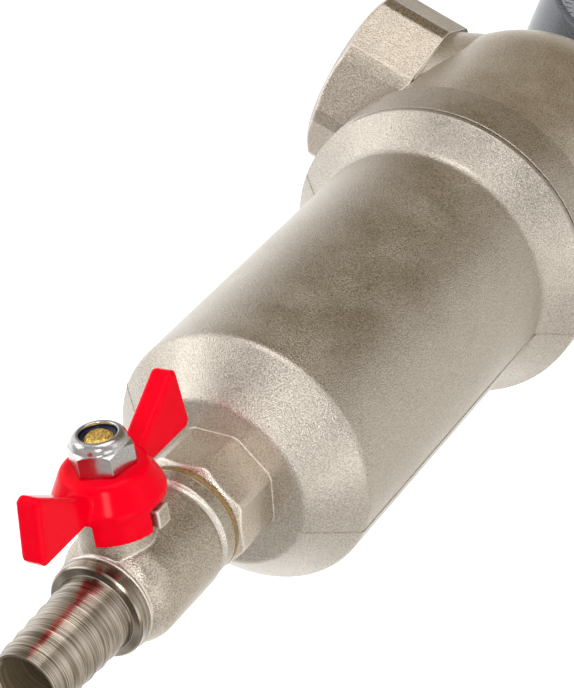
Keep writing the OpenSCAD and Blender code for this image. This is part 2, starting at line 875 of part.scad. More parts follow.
// Toothed sector with its arbor, tail and tail pin
module sector_gear() {
    pitch = 360 / sector_teeth;
    extra = ceil(8 / pitch);
    swept = ceil(sector_turn / pitch);
    root = sector_r - 1.2 * gear_module;
    first = mesh_dir - (swept + extra) * pitch;
    last = mesh_dir + extra * pitch;
    color("#bd9a55")
        in_gauge() {
            translate([sector_at[0], sector_at[1], sector_z]) {
                linear_extrude(sector_t)
                    union() {
                        difference() {
                            intersection() {
                                circle(root);
                                polygon([
                                    [0, 0], polar(2 * root, first),
                                    polar(2 * root, (first + last) / 2), polar(2 * root, last)
                                ]);
                            }
                            intersection() {
                                circle(root - 1.6);
                                polygon([
                                    polar(3.4, (first + last) / 2),
                                    polar(2 * root, first + 13),
                                    polar(2 * root, last - 13)
                                ]);
                            }
                        }
                        circle(1.6, $fn = 48);
                        for (i = [-swept - extra:extra - 1])
                            tooth(sector_r, mesh_dir + (i + 0.5) * pitch);
                        rotate(tail_dir) translate([0, -0.8]) square([tail_len, 1.6]);
                        rotate(tail_dir) translate([tail_len, 0]) circle(0.9, $fn = 32);
                    }
                rotate([0, 0, tail_dir])
                    translate([tail_len, 0, sector_t / 2])
                        cylinder(
                            r = link_pin_r,
                            h = link_z + link_t + 0.2 - sector_z - sector_t / 2,
                            $fn = 32
                        );
                translate([0, 0, -sector_z]) cylinder(r = arbor_r, h = dial_z, $fn = 48);
            }
        }
}

// Pinion on the arbor that carries the pointer
module pinion() {
    color("#c2a364")
        in_gauge() {
            translate([0, 0, sector_z - 0.2])
                linear_extrude(sector_t + 0.4)
                    union() {
                        circle(pinion_r - 1.2 * gear_module, $fn = 48);
                        for (i = [0:pinion_teeth - 1])
                            tooth(pinion_r, mesh_dir + 180 + i * 360 / pinion_teeth);
                    }
            cylinder(r = arbor_r, h = pointer_z + 1.1, $fn = 48);
        }
}

// Plate of the movement at height z, with holes at the listed places
module movement_plate(z, small_holes, large_holes) {
    translate([0, 0, z])
        linear_extrude(plate_t)
            difference() {
                polygon(plate_outline);
                circle(arbor_hole_r, $fn = 32);
                translate(sector_at) circle(arbor_hole_r, $fn = 32);
                for (p = small_holes) translate(p) circle(arbor_hole_r, $fn = 32);
                for (p = large_holes) translate(p) circle(pillar_r + run_gap, $fn = 32);
            }
}

// Back plate of the movement, screwed to the stem's block
module movement_back_plate() {
    color("#c4a662")
        in_gauge()
            movement_plate(0, [], movement_screws_at);
}

// Front plate of the movement, which carries the dial
module movement_front_plate() {
    color("#c8ab68")
        in_gauge()
            movement_plate(front_plate_z, dial_screws_at, movement_screws_at);
}

// Pillars between the two plates
module movement_pillars() {
    color("#a89a72")
        in_gauge()
            for (p = pillars_at)
                translate([p[0], p[1], plate_t])
                    cylinder(r = pillar_r, h = front_plate_z - plate_t, $fn = 32);
}

// Screws that hold the movement to the stem's block
module movement_screws() {
    color("#b8b4a8")
        in_gauge()
            for (p = movement_screws_at)
                translate([p[0], p[1], 0]) {
                    translate([0, 0, -4.5]) cylinder(r = pillar_r, h = 4.5 + plate_t + bite, $fn = 32);
                    translate([0, 0, plate_t]) cylinder(r = 1.4, h = 1, $fn = 32);
                }
}

// Seal between the drain octagon and the valve
module joint_seal() {
    color("#a97c35")
        in_valve()
            ring(joint_seal_r, drain_thread_r + run_gap, valve_top, joint_seal_t);
}

// Outline of the valve body on one side of the pipe axis
module valve_outline() {
    groove_z = valve_top - valve_collar_h;
    polygon(concat(
        [[0, valve_top], [valve_collar_r, valve_top], [valve_collar_r, groove_z],
            [valve_collar_r - body_groove, groove_z], [valve_collar_r - body_groove, groove_z - body_groove]],
        arc([valve_r - 2, groove_z - body_groove - 2], 2, 60, 0),
        arc([valve_r - 6, -1], 6, 0, -asin((valve_end - 1) / 6 * 0.8)),
        [[valve_end_r, -valve_end], [0, -valve_end]]
    ));
}

// Valve body with its thread, stem neck and stop lugs
module valve_body() {
    color("#a9a396")
        difference() {
            union() {
                in_valve() {
                    rotate_extrude() valve_outline();
                    translate([0, 0, valve_top - bite])
                        cylinder(r = drain_thread_r, h = drain_thread_len + bite);
                }
                in_stem() {
                    cylinder(r = neck_r, h = neck_top);
                    translate([-lug_reach, -lug_w / 2, lug_low])
                        cube([2 * lug_reach, lug_w, lug_top - lug_low]);
                }
            }
            in_valve() {
                translate([0, 0, -valve_end - past])
                    cylinder(r = valve_bore_r, h = valve_end + valve_top + drain_thread_len + 2 * past);
                translate([0, 0, cup_top - bite])
                    cylinder(r = seat_pocket_r, h = seat_far - cup_top + bite);
                translate([0, 0, -valve_end - past])
                    cylinder(r = tail_thread_r + thread_gap, h = valve_end + cup_top + past);
            }
            in_stem() {
                cylinder(r = pocket_r, h = pocket_top);
                cylinder(r = stem_r + run_gap, h = neck_top + 2 * past);
                translate([0, 0, neck_top]) cylinder(r = lug_reach - 1.4, h = hub_top);
            }
        }
}

// Barbed hose tail, screwed into the valve body from below
module hose_tail() {
    color("#b9b3a6")
        in_valve()
            difference() {
                union() {
                    translate([0, 0, -valve_end]) cylinder(r = tail_thread_r, h = valve_end + cup_top);
                    translate([0, 0, tail_root_z]) cylinder(r = tail_flange_r, h = tail_flange_t);
                    rotate_extrude() barb_outline();
                }
                translate([0, 0, -seat_far]) cylinder(r = seat_pocket_r, h = seat_far + past);
                translate([0, 0, tail_root_z - bite]) cylinder(r = valve_bore_r, h = -tail_root_z);
                translate([0, 0, tail_root_z - barb_len - past])
                    cylinder(r = tail_bore_r, h = barb_len + past);
            }
}

// Outline of the barbs on one side of the pipe axis
module barb_outline() {
    polygon(concat(
        [[0, tail_root_z + bite], [barb_root_r, tail_root_z + bite]],
        [for (i = [0:barb_count - 1], step = [0, 1])
            [barb_root_r + (barb_end_r - barb_root_r) * (i + step) / barb_count - step * barb_step,
                tail_root_z - barb_pitch * (i + step)]],
        [[0, tail_root_z - barb_len]]
    ));
}

// One ball seat above the ball
module seat() {
    difference() {
        ring(seat_pocket_r - run_gap, valve_bore_r, seat_near, seat_w);
        sphere(ball_r + ball_gap);
    }
}

// Seat between the ball and the valve body
module upper_seat() {
    color("#f2f2ee")
        in_valve() seat();
}

// Seat between the ball and the hose tail
module lower_seat() {
    color("#f2f2ee")
        in_valve() mirror([0, 0, 1]) seat();
}

// Ball with its bore along the pipe and a slot for the stem across it
module ball() {
    color("#d6d8da")
        in_stem()
            difference() {
                sphere(ball_r);
                rotate([90, 0, 0]) cylinder(r = ball_bore_r, h = 3 * ball_r, center = true);
                translate([-ball_r, -slot_w / 2, ball_r - slot_depth])
                    cube([2 * ball_r, slot_w, 2 * slot_depth]);
            }
}

// Thrust washer above the stem's head
module stem_washer() {
    color("#efefe9")
        in_stem()
            ring(stem_head_r - 2 * run_gap, stem_r + run_gap, stem_head_z + stem_head_t + run_gap,
                stem_washer_t - run_gap);
}

// Stem with its tang, head, ring grooves, two flats and thread
module stem() {
    color("#c79a35")
        in_stem()
            difference() {
                union() {
                    intersection() {
                        cylinder(r = tang_r, h = stem_head_z + bite);
                        translate([-stem_head_r, -slot_w / 2 + tang_gap, ball_r - slot_depth + tang_gap])
                            cube([2 * stem_head_r, slot_w - 2 * tang_gap, 2 * slot_depth]);
                    }
                    translate([0, 0, stem_head_z]) cylinder(r = stem_head_r, h = stem_head_t);
                    translate([0, 0, stem_head_z + bite])
                        cylinder(r = stem_r, h = hub_roof - stem_head_z - bite);
                    intersection() {
                        translate([0, 0, hub_roof - bite])
                            cylinder(r = stem_thread_r, h = hub_top - hub_roof + 2 * bite);
                        translate([-stem_r, -stem_flats / 2, 0])
                            cube([2 * stem_r, stem_flats, hub_top + past]);
                    }
                    translate([0, 0, hub_top + 2 * run_gap])
                        cylinder(r = stem_thread_r, h = stem_end - hub_top - 2 * run_gap - bite);
                    translate([0, 0, stem_end - bite])
                        cylinder(r1 = stem_thread_r, r2 = stem_thread_r - bite, h = bite);
                }
                for (z = rings_at)
                    ring(stem_r + past, groove_r, z - ring_section - run_gap, 2 * (ring_section + run_gap));
            }
}

// Sealing rings in the stem's grooves
module stem_rings() {
    color("#222224")
        in_stem()
            for (z = rings_at)
                o_ring(groove_r + ring_section, ring_section - run_gap / 2, z);
}

// Endless bar with a flat, chamfered rim on the line from p to q, with the wing on its left
module rim_bar(p, q) {
    run = q - p;
    half = wing_t / 2;
    translate([0, p[0], p[1]])
        rotate([atan2(run[1], run[0]), 0, 0])
            rotate([90, 0, 0])
                linear_extrude(4 * wing_reach, center = true)
                    polygon([
                        [-half, wing_edge], [wing_edge - half, 0], [half - wing_edge, 0], [half, wing_edge],
                        [half, 2 * wing_reach], [-half, 2 * wing_reach]
                    ]);
}

// One wing of the handle along +y: what the bars along its edges have in common
module wing() {
    root_low = [hub_in_r, hub_bottom + 0.5];
    tip_low = [wing_reach, wing_low];
    tip_high = [wing_reach - wing_lean, wing_high];
    root_high = [hub_top_r, hub_top - 1.6];
    edge = [
        root_low, toward(tip_low, root_low, wing_corner), toward(tip_low, tip_high, wing_corner),
        toward(tip_high, tip_low, wing_corner), toward(tip_high, root_high, wing_corner), root_high
    ];
    intersection() {
        intersection_for(i = [0:len(edge) - 2])
            rim_bar(edge[i], edge[i + 1]);
        translate([-wing_t, hub_in_r + 0.2, 0]) cube([2 * wing_t, wing_reach, 2 * wing_high]);
    }
}

// Bell-shaped hub of the handle on one side of the stem's axis
module hub_outline() {
    difference() {
        polygon(concat(
            [[0, hub_bottom], [hub_r, hub_bottom], [hub_r, hub_bottom + 1.4]],
            arc([hub_top_r - hub_round, hub_top - hub_round], hub_round, 20, 90),
            [[0, hub_top]]
        ));
        translate([-past, hub_bottom - past]) square([hub_in_r + past, hub_roof - hub_bottom + past]);
        translate([-past, hub_bottom - past]) square([past, hub_top]);
    }
}

// Two-winged handle with a bell hub and the tongue that meets the stop lugs
module handle() {
    color("#e3061a")
        in_stem()
            difference() {
                union() {
                    rotate_extrude() hub_outline();
                    rotate([0, 0, tongue_start])
                        rotate_extrude(angle = tongue_angle)
                            translate([hub_in_r + tongue_inset, tongue_bottom])
                                square([hub_wall - 2 * tongue_inset, hub_bottom + bite - tongue_bottom]);
                    for (side = [0, 180])
                        rotate([0, 0, side]) wing();
                }
                intersection() {
                    translate([0, 0, hub_roof - past])
                        cylinder(r = stem_thread_r + run_gap, h = hub_plate + 2 * past);
                    translate([-stem_r, -stem_flats / 2 - run_gap, hub_roof - past])
                        cube([2 * stem_r, stem_flats + 2 * run_gap, hub_plate + 2 * past]);
                }
            }
}

// Lock nut with turned corners and a rounded crown
module handle_nut() {
    corner_r = nut_af / 2 / cos(30);
    flat_top = hub_top + nut_h * 0.62;
    color("#c4c8cc")
        in_stem()
            difference() {
                intersection() {
                    translate([0, 0, hub_top]) hexagon_bar(nut_af, nut_h);
                    rotate_extrude()
                        polygon(concat(
                            [[0, hub_top], [corner_r - 0.5, hub_top], [corner_r, hub_top + 0.4],
                                [corner_r, flat_top - 0.6], [nut_af / 2, flat_top]],
                            arc([nut_lip_r - 1, hub_top + nut_h - 1], 1, 0, 90),
                            [[0, hub_top + nut_h]]
                        ));
                }
                translate([0, 0, hub_top - past])
                    cylinder(r = stem_thread_r + thread_gap, h = nut_h + 2 * past);
                translate([0, 0, hub_top + nut_h - insert_t - insert_recess])
                    cylinder(r = insert_r + run_gap, h = nut_h);
            }
}

// Locking ring in the crown of the nut
module nut_insert() {
    color("#14182e")
        in_stem()
            ring(insert_r, stem_thread_r + thread_gap, hub_top + nut_h - insert_t - insert_recess, insert_t);
}

head();
bowl();
bowl_gasket();
screen_mesh();
screen_cage();
screen_top_ring();
screen_end_plate();
throat_seal();
gauge_washer();
gauge_socket();
gauge_case();
gauge_window();
gauge_dial();
dial_screws();
gauge_pointer();
pressure_tube();
tube_tip();
tip_link();
sector_gear();
pinion();
movement_back_plate();
movement_front_plate();
movement_pillars();
movement_screws();
joint_seal();
valve_body();
hose_tail();
upper_seat();
lower_seat();
ball();
stem_washer();
stem();
stem_rings();
handle();
handle_nut();
nut_insert();
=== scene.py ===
"""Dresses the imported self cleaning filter: castings, drain valve, handle, gauge and studio.

Lengths are metres in the part's own frame: the origin is the centre of the inlet port's mouth,
+X runs along the pipe, +Z is up and the gauge's dial faces -Y.
"""

import json
import logging
import math
from collections.abc import Iterator
from contextlib import contextmanager
from dataclasses import dataclass, field
from enum import Enum

import bmesh
import bpy
import numpy as np
from mathutils import Matrix, Vector
from mathutils.bvhtree import BVHTree

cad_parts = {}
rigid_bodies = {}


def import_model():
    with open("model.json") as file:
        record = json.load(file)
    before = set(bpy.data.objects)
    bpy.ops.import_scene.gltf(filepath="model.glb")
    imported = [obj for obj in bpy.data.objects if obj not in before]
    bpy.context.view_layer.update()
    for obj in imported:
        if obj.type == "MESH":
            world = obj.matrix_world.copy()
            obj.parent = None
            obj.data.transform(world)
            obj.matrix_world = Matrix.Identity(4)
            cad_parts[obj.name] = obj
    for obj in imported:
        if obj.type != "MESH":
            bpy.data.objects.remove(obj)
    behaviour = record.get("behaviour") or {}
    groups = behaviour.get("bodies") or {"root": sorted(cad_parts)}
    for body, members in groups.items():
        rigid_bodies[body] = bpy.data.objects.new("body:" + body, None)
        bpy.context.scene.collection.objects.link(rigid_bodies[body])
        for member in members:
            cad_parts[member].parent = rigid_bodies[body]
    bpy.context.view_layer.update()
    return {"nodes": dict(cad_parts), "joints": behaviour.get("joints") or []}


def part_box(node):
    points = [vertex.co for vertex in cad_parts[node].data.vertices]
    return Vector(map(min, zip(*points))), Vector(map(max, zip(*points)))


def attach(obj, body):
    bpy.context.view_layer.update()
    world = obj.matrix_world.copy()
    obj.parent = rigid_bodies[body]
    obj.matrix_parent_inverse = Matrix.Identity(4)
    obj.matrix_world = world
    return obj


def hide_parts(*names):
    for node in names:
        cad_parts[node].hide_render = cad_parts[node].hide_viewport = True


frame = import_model()

MM = 0.001
LOG = logging.getLogger("filter")
Colour = tuple[float, float, float]
Spot = tuple[float, float, float]
Outline = list[tuple[float, float]]
Run = tuple[float, float, int]
SMOOTH_ANGLE = 32.0

# Patterns that the finishes share: sizes in grains, and ranges whose ends become 0 and 1.
# Pale colour painted along edges: a painted highlight where light catches the rounded edges, partly
# also bare worn metal.
EDGE_HIGHLIGHT_AND_WEAR: Colour = (0.97, 0.92, 0.86)
EDGE_RANGE = (0.01, 0.07)
EDGE_SAMPLES = 6
NOISE_ROUGHNESS = 0.55
CLOUD_DETAIL = 3.0
CLOUD_GRAINS = 40
TONE_SPREAD = 0.14
GLOSS_RANGE = (0.2, 0.8)
PATCH_RANGE = (0.36, 0.64)
RELIEF_LOW = 0.75
RELIEF_SWING = 0.4
BUMP_STRENGTH = 0.6
COAT_ROUGHNESS = 0.08
PIT_GRAINS = 7
PIT_RANGE = (0.04, 0.15)
PIT_DEPTH = 0.6
PITTED_GRAINS = 14
PITTED_RANGE = (0.47, 0.6)
MILLED_STRETCH: Spot = (0.06, 1.0, 1.0)
MILLED_SHARE = 0.6
MILLED_FINE = 0.8
TURNED_STRETCH: Spot = (0.02, 0.02, 1.0)
WEAVE_SCALE = 0.3


class Grain(Enum):
    """What the surface of a finish looks like close up."""

    CAST = "cast"
    MILLED = "milled"
    TURNED = "turned"
    MOULDED = "moulded"
    PAINTED = "painted"
    WOVEN = "woven"


class Sock:
    """A node's output socket that takes part in Python arithmetic."""

    def __init__(self, graph: "Graph", socket: bpy.types.NodeSocket) -> None:
        """Keeps the socket and the graph that new nodes go into."""
        self.graph = graph
        self.socket = socket

    def _math(self, operation: str, first: object, second: object) -> "Sock":
        """Adds a Math node.

        Args:
            operation: The Math node's operation.
            first: Number or Sock.
            second: Number or Sock.

        Returns:
            The result's socket.
        """
        made = self.graph.node("ShaderNodeMath", {"operation": operation}, {0: first, 1: second})
        return Sock(self.graph, made.outputs[0])

    def __add__(self, other: object) -> "Sock":
        """Sum."""
        return self._math("ADD", self, other)

    def __radd__(self, other: object) -> "Sock":
        """Sum with a number on the left."""
        return self._math("ADD", other, self)

    def __sub__(self, other: object) -> "Sock":
        """Difference."""
        return self._math("SUBTRACT", self, other)

    def __rsub__(self, other: object) -> "Sock":
        """Difference from a number on the left."""
        return self._math("SUBTRACT", other, self)

    def __mul__(self, other: object) -> "Sock":
        """Product."""
        return self._math("MULTIPLY", self, other)

    def __rmul__(self, other: object) -> "Sock":
        """Product with a number on the left."""
        return self._math("MULTIPLY", other, self)

    def __truediv__(self, other: object) -> "Sock":
        """Quotient."""
        return self._math("DIVIDE", self, other)

    def __rtruediv__(self, other: object) -> "Sock":
        """Quotient with a number on the left."""
        return self._math("DIVIDE", other, self)

    def cosine(self) -> "Sock":
        """Cosine of an angle in radians."""
        return self._math("COSINE", self, 0.0)

    def sine(self) -> "Sock":
        """Sine of an angle in radians."""
        return self._math("SINE", self, 0.0)


class Graph:
    """A node tree with one way to add any node."""

    def __init__(self, tree: bpy.types.NodeTree) -> None:
        """Keeps the tree."""
        self.tree = tree

    def node(
        self,
        kind: str,
        settings: dict[str, object] | None = None,
        sockets: dict[str | int, object] | None = None,
    ) -> bpy.types.Node:
        """Adds a node.

        Args:
            kind: The node's type name.
            settings: Attributes, set first.
            sockets: Input values, or Socks to link, by the input's name or number.

        Returns:
            The new node.
        """
        made = self.tree.nodes.new(kind)
        for key, value in (settings or {}).items():
            setattr(made, key, value)
        for key, value in (sockets or {}).items():
            if isinstance(value, Sock):
                self.tree.links.new(value.socket, made.inputs[key])
            else:
                made.inputs[key].default_value = value
        return made

    def out(self, made: bpy.types.Node, which: str | int = 0) -> Sock:
        """Wraps one output of a node."""
        return Sock(self, made.outputs[which])

    def between(self, value: Sock, low: float, high: float) -> Sock:
        """Stretches a range over 0 to 1, smoothly and clamped.

        Args:
            value: The value to stretch.
            low: What becomes 0.
            high: What becomes 1.

        Returns:
            The stretched value.
        """
        settings = {"interpolation_type": "SMOOTHSTEP"}
        sockets = {"Value": value, "From Min": low, "From Max": high}
        return self.out(self.node("ShaderNodeMapRange", settings, sockets))

    def mix(self, share: Sock, first: object, second: object) -> Sock:
        """Mixes two colours.

        Args:
            share: 0 for the first, 1 for the second.
            first: Colour or Sock.
            second: Colour or Sock.

        Returns:
            The mixed colour.
        """
        ends = [value if isinstance(value, Sock) else (*value, 1.0) for value in (first, second)]
        made = self.node("ShaderNodeMix", {"data_type": "RGBA"}, {0: share, 6: ends[0], 7: ends[1]})
        return self.out(made, 2)


class Shader(Graph):
    """The node tree of one material, with the patterns that the finishes share."""

    def __init__(self, name: str) -> None:
        """Makes an empty material with a principled shader.

        Args:
            name: Name of the material.
        """
        self.material = bpy.data.materials.new(name)
        self.material.use_nodes = True
        super().__init__(self.material.node_tree)
        self.tree.nodes.clear()
        self.bsdf = self.node("ShaderNodeBsdfPrincipled")
        end = self.node("ShaderNodeOutputMaterial")
        self.tree.links.new(self.bsdf.outputs[0], end.inputs["Surface"])
        self.place = self.out(self.node("ShaderNodeTexCoord"), "Object")

    def set(self, **values: object) -> None:
        """Sets or links inputs of the shader.

        Args:
            **values: Numbers, colours or Socks by the input's name, with _ for each space in it.
        """
        for key, value in values.items():
            target = self.bsdf.inputs[key.replace("_", " ")]
            if isinstance(value, Sock):
                self.tree.links.new(value.socket, target)
            else:
                target.default_value = value

    def noise(self, size: float, detail: float = 2.0, stretch: Spot = (1, 1, 1)) -> Sock:
        """Noise on object coordinates.

        Args:
            size: Size of the blotches.
            detail: Number of finer layers.
            stretch: Scale of the coordinates along each axis.

        Returns:
            A value round 0.5.
        """
        place = self.node("ShaderNodeMapping", {}, {"Vector": self.place, "Scale": stretch})
        sockets = {"Scale": 1.0 / size, "Detail": detail, "Roughness": NOISE_ROUGHNESS}
        return self.out(self.node("ShaderNodeTexNoise", {}, {"Vector": self.out(place), **sockets}))

    def cells(self, size: float) -> Sock:
        """Distance to the nearest of scattered points, from 0 at the point."""
        made = self.node("ShaderNodeTexVoronoi", {}, {"Vector": self.place, "Scale": 1.0 / size})
        return self.out(made, "Distance")

    def edges(self, radius: float) -> Sock:
        """Finds the edges of a piece.

        Args:
            radius: How far from an edge it still counts.

        Returns:
            0 on even faces and 1 where the surface turns.
        """
        soft = self.out(self.node("ShaderNodeBevel", {"samples": EDGE_SAMPLES}, {"Radius": radius}))
        even = self.out(self.node("ShaderNodeNewGeometry"), "Normal")
        match = self.node("ShaderNodeVectorMath", {"operation": "DOT_PRODUCT"}, {0: soft, 1: even})
        return self.between(1.0 - self.out(match, "Value"), *EDGE_RANGE)

    def relief(self, height: Sock, depth: float, edge_round: float) -> Sock:
        """Normal with fine relief and softened edges.

        Args:
            height: Relief from 0 to 1.
            depth: Height of the relief.
            edge_round: Radius to which sharp edges look rounded, or 0.

        Returns:
            The normal.
        """
        sockets = {"Height": height, "Distance": depth, "Strength": BUMP_STRENGTH}
        if edge_round > 0:
            soft = self.node("ShaderNodeBevel", {"samples": EDGE_SAMPLES}, {"Radius": edge_round})
            sockets["Normal"] = self.out(soft)
        return self.out(self.node("ShaderNodeBump", {}, sockets))


@dataclass(frozen=True)
class Finish:
    """A solid finish: two tones, a roughness and a grain.

    The swing is how far the roughness varies, the cloud is the share of wide blotches in the tone,
    and the edge share is how strongly the edges are painted pale: a painted highlight on the rounded
    edges, partly also bare worn metal.
    """

    name: str
    slot: str
    light: Colour
    dark: Colour
    metallic: float
    roughness: float
    grain: Grain
    grain_size: float = 0.3 * MM
    depth: float = 0.03 * MM
    swing: float = 0.1
    edge_round: float = 0.0
    coat: float = 0.0
    specular: float = 0.5
    cloud: float = 0.25
    worn: float = 0.0

    def build(self) -> bpy.types.Material:
        """Makes the material.

        Returns:
            The material, with its grain in colour, roughness and normal.
        """
        shader = Shader(self.name)
        fine, wide = self._patterns(shader)
        blend = wide * self.cloud + fine * (1.0 - self.cloud)
        lightness = shader.between(blend, 0.5 - TONE_SPREAD, 0.5 + TONE_SPREAD)
        colour = shader.mix(lightness, self.dark, self.light)
        # Edges painted pale: a painted highlight on the rounded edges, partly also bare worn metal.
        if self.worn > 0:
            colour = shader.mix(shader.edges(self.edge_round) * self.worn, colour, EDGE_HIGHLIGHT_AND_WEAR)
        gloss = shader.between(fine * 0.5 + wide * 0.5, *GLOSS_RANGE)
        patch = shader.between(wide, *PATCH_RANGE)
        shader.set(
            Base_Color=colour,
            Metallic=self.metallic,
            Roughness=gloss * (2 * self.swing) + (self.roughness - self.swing),
            Normal=shader.relief(
                fine * (patch * RELIEF_SWING + RELIEF_LOW), self.depth, self.edge_round
            ),
            Coat_Weight=self.coat,
            Coat_Roughness=COAT_ROUGHNESS,
            Specular_IOR_Level=self.specular,
        )
        return shader.material

    def _patterns(self, shader: Shader) -> tuple[Sock, Sock]:
        """Fine relief and wide cloudiness for this grain.

        Args:
            shader: The material under construction.

        Returns:
            The fine pattern and the wide one, both round 0.5.
        """
        grain = self.grain_size
        wide = shader.noise(grain * CLOUD_GRAINS, CLOUD_DETAIL)
        if self.grain is Grain.CAST:
            pitted = shader.between(shader.noise(grain * PITTED_GRAINS, 1.0), *PITTED_RANGE)
            pits = pitted * (1.0 - shader.between(shader.cells(grain * PIT_GRAINS), *PIT_RANGE))
            return shader.noise(grain, 1.0) * (1.0 - pits * PIT_DEPTH), wide
        if self.grain is Grain.MILLED:
            lines = shader.noise(grain, stretch=MILLED_STRETCH) * MILLED_SHARE
            return lines + shader.noise(grain * MILLED_FINE) * (1.0 - MILLED_SHARE), wide
        if self.grain is Grain.TURNED:
            return shader.noise(grain, stretch=TURNED_STRETCH), wide
        if self.grain is Grain.WOVEN:
            sockets = {"Vector": shader.place, "Scale": WEAVE_SCALE / grain}
            weft, warp = (
                shader.out(shader.node("ShaderNodeTexWave", {"bands_direction": way}, sockets), "Fac")
                for way in "XZ"
            )
            return weft * warp, wide
        return shader.noise(grain), wide


@dataclass(frozen=True)
class ClearFinish:
    """A clear, slightly tinted finish with faint wiping marks."""

    name: str
    slot: str
    tint: Colour
    mark_size: float = 6 * MM
    mark_stretch: Spot = (1.0, 1.0, 0.3)
    mark_tone: float = 0.96
    roughness: float = 0.02
    swing: float = 0.05
    clear: float = 0.98
    ior: float = 1.49

    def build(self) -> bpy.types.Material:
        """Makes the material.

        Returns:
            The material.
        """
        shader = Shader(self.name)
        wiped = shader.noise(self.mark_size, CLOUD_DETAIL, self.mark_stretch)
        shader.set(
            Base_Color=shader.mix(wiped, self.tint, tuple(self.mark_tone * c for c in self.tint)),
            Roughness=wiped * self.swing + self.roughness,
            Transmission_Weight=self.clear,
            IOR=self.ior,
        )
        return shader.material


AnyFinish = Finish | ClearFinish
CAST_NICKEL = Finish(
    "cast_nickel", "nickel_casting", (0.63, 0.58, 0.515), (0.423, 0.386, 0.337), 1.0, 0.35,
    Grain.CAST, grain_size=0.27 * MM, depth=0.17 * MM, swing=0.12, edge_round=0.5 * MM, cloud=0.12,
)
ROUGH_NICKEL = Finish(
    "rough_nickel", "nickel_casting", (0.61, 0.54, 0.465), (0.38, 0.335, 0.28), 1.0, 0.34,
    Grain.CAST, grain_size=0.3 * MM, depth=0.18 * MM, swing=0.12, edge_round=0.8 * MM, cloud=0.12,
    worn=1.0,
)
# Lighter copy of the cast nickel for the dome: the lighter tones are painted light on the top of the
# head, the shallower grain is its own smoother finish.
LIT_DOME_NICKEL = Finish(
    "lit_dome_nickel", "nickel_casting", (0.76, 0.70, 0.62), (0.54, 0.495, 0.435), 1.0, 0.34,
    Grain.CAST, grain_size=0.26 * MM, depth=0.13 * MM, swing=0.12, edge_round=0.5 * MM, cloud=0.12,
)
# Lighter copy of the cast nickel for the drain octagon: painted light on the boss.
LIT_BOSS_NICKEL = Finish(
    "lit_boss_nickel", "nickel_casting", (0.82, 0.725, 0.635), (0.58, 0.51, 0.44), 1.0, 0.33,
    Grain.CAST, grain_size=0.24 * MM, depth=0.12 * MM, swing=0.12, edge_round=0.7 * MM, cloud=0.12,
    worn=1.0,
)
TURNED_NICKEL = Finish(
    "turned_nickel", "nickel_turned", (0.54, 0.475, 0.405), (0.18, 0.155, 0.125), 1.0, 0.24,
    Grain.TURNED, grain_size=0.22 * MM, swing=0.08,
)
RED_PAINT = Finish(
    "red_paint", "red_paint", (0.90, 0.0, 0.016), (0.86, 0.0, 0.012), 0.0, 0.14,
    Grain.PAINTED, grain_size=1.4 * MM, depth=0.012 * MM, swing=0.03, specular=0.05,
)
# Rough, less metallic finish for the tail's bore, with its tones darkened as painted shade inside the
# bore.
SHADED_DULL_BORE = Finish(
    "shaded_dull_bore", "nickel_turned", (0.40, 0.32, 0.21), (0.24, 0.19, 0.12), 0.5, 0.5,
    Grain.TURNED, depth=0.04 * MM,
)
ZINC_STEEL = Finish(
    "zinc_steel", "zinc_steel", (0.58, 0.57, 0.565), (0.42, 0.41, 0.415), 1.0, 0.2,
    Grain.MILLED, grain_size=0.35 * MM, depth=0.02 * MM, swing=0.06, edge_round=0.2 * MM,
)
STEM_BRASS = Finish(
    "stem_brass", "stem_brass", (0.95, 0.66, 0.17), (0.42, 0.26, 0.05), 1.0, 0.34,
    Grain.CAST, grain_size=0.5 * MM, depth=0.3 * MM, swing=0.12,
)
NAVY_NYLON = Finish(
    "navy_nylon", "navy_nylon", (0.010, 0.012, 0.045), (0.004, 0.005, 0.02), 0.0, 0.3,
    Grain.MOULDED, swing=0.08, specular=0.2,
)
AMBER_SEAL = Finish(
    "amber_seal", "amber_seal", (0.34, 0.22, 0.07), (0.16, 0.10, 0.03), 0.0, 0.4, Grain.MOULDED,
)
CASE_PLASTIC = Finish(
    "case_plastic", "case_plastic", (0.10, 0.11, 0.13), (0.07, 0.08, 0.10), 0.0, 0.28,
    Grain.MOULDED, grain_size=0.5 * MM, depth=0.01 * MM, swing=0.06, edge_round=0.3 * MM, coat=0.3,
)
DIAL_WHITE = Finish(
    "dial_white", "dial_white", (0.90, 0.90, 0.88), (0.86, 0.86, 0.83), 0.0, 0.5,
    Grain.PAINTED, depth=0.01 * MM, swing=0.05,
)
POINTER_BLACK = Finish(
    "pointer_black", "pointer_black", (0.03, 0.03, 0.032), (0.015, 0.015, 0.017), 0.0, 0.45,
    Grain.PAINTED, swing=0.08,
)
MOVEMENT_BRASS = Finish(
    "movement_brass", "movement_brass", (0.62, 0.46, 0.20), (0.48, 0.34, 0.13), 1.0, 0.28,
    Grain.MILLED, swing=0.08,
)
COPPER = Finish(
    "washer_copper", "copper_washer", (0.62, 0.30, 0.17), (0.44, 0.20, 0.10), 1.0, 0.32, Grain.MILLED,
)
SEAL_RUBBER = Finish(
    "seal_rubber", "seal_rubber", (0.035, 0.035, 0.036), (0.02, 0.02, 0.021), 0.0, 0.6, Grain.MOULDED,
)
WHITE_PLASTIC = Finish(
    "white_plastic", "white_plastic", (0.86, 0.85, 0.81), (0.80, 0.79, 0.74), 0.0, 0.45, Grain.MOULDED,
)
WAXY_WHITE = Finish(
    "waxy_white", "ptfe", (0.92, 0.92, 0.90), (0.86, 0.86, 0.83), 0.0, 0.38, Grain.MOULDED, swing=0.08,
)
STAINLESS = Finish(
    "stainless_mesh", "stainless", (0.66, 0.67, 0.69), (0.42, 0.43, 0.45), 1.0, 0.3,
    Grain.WOVEN, grain_size=0.12 * MM, depth=0.06 * MM,
)
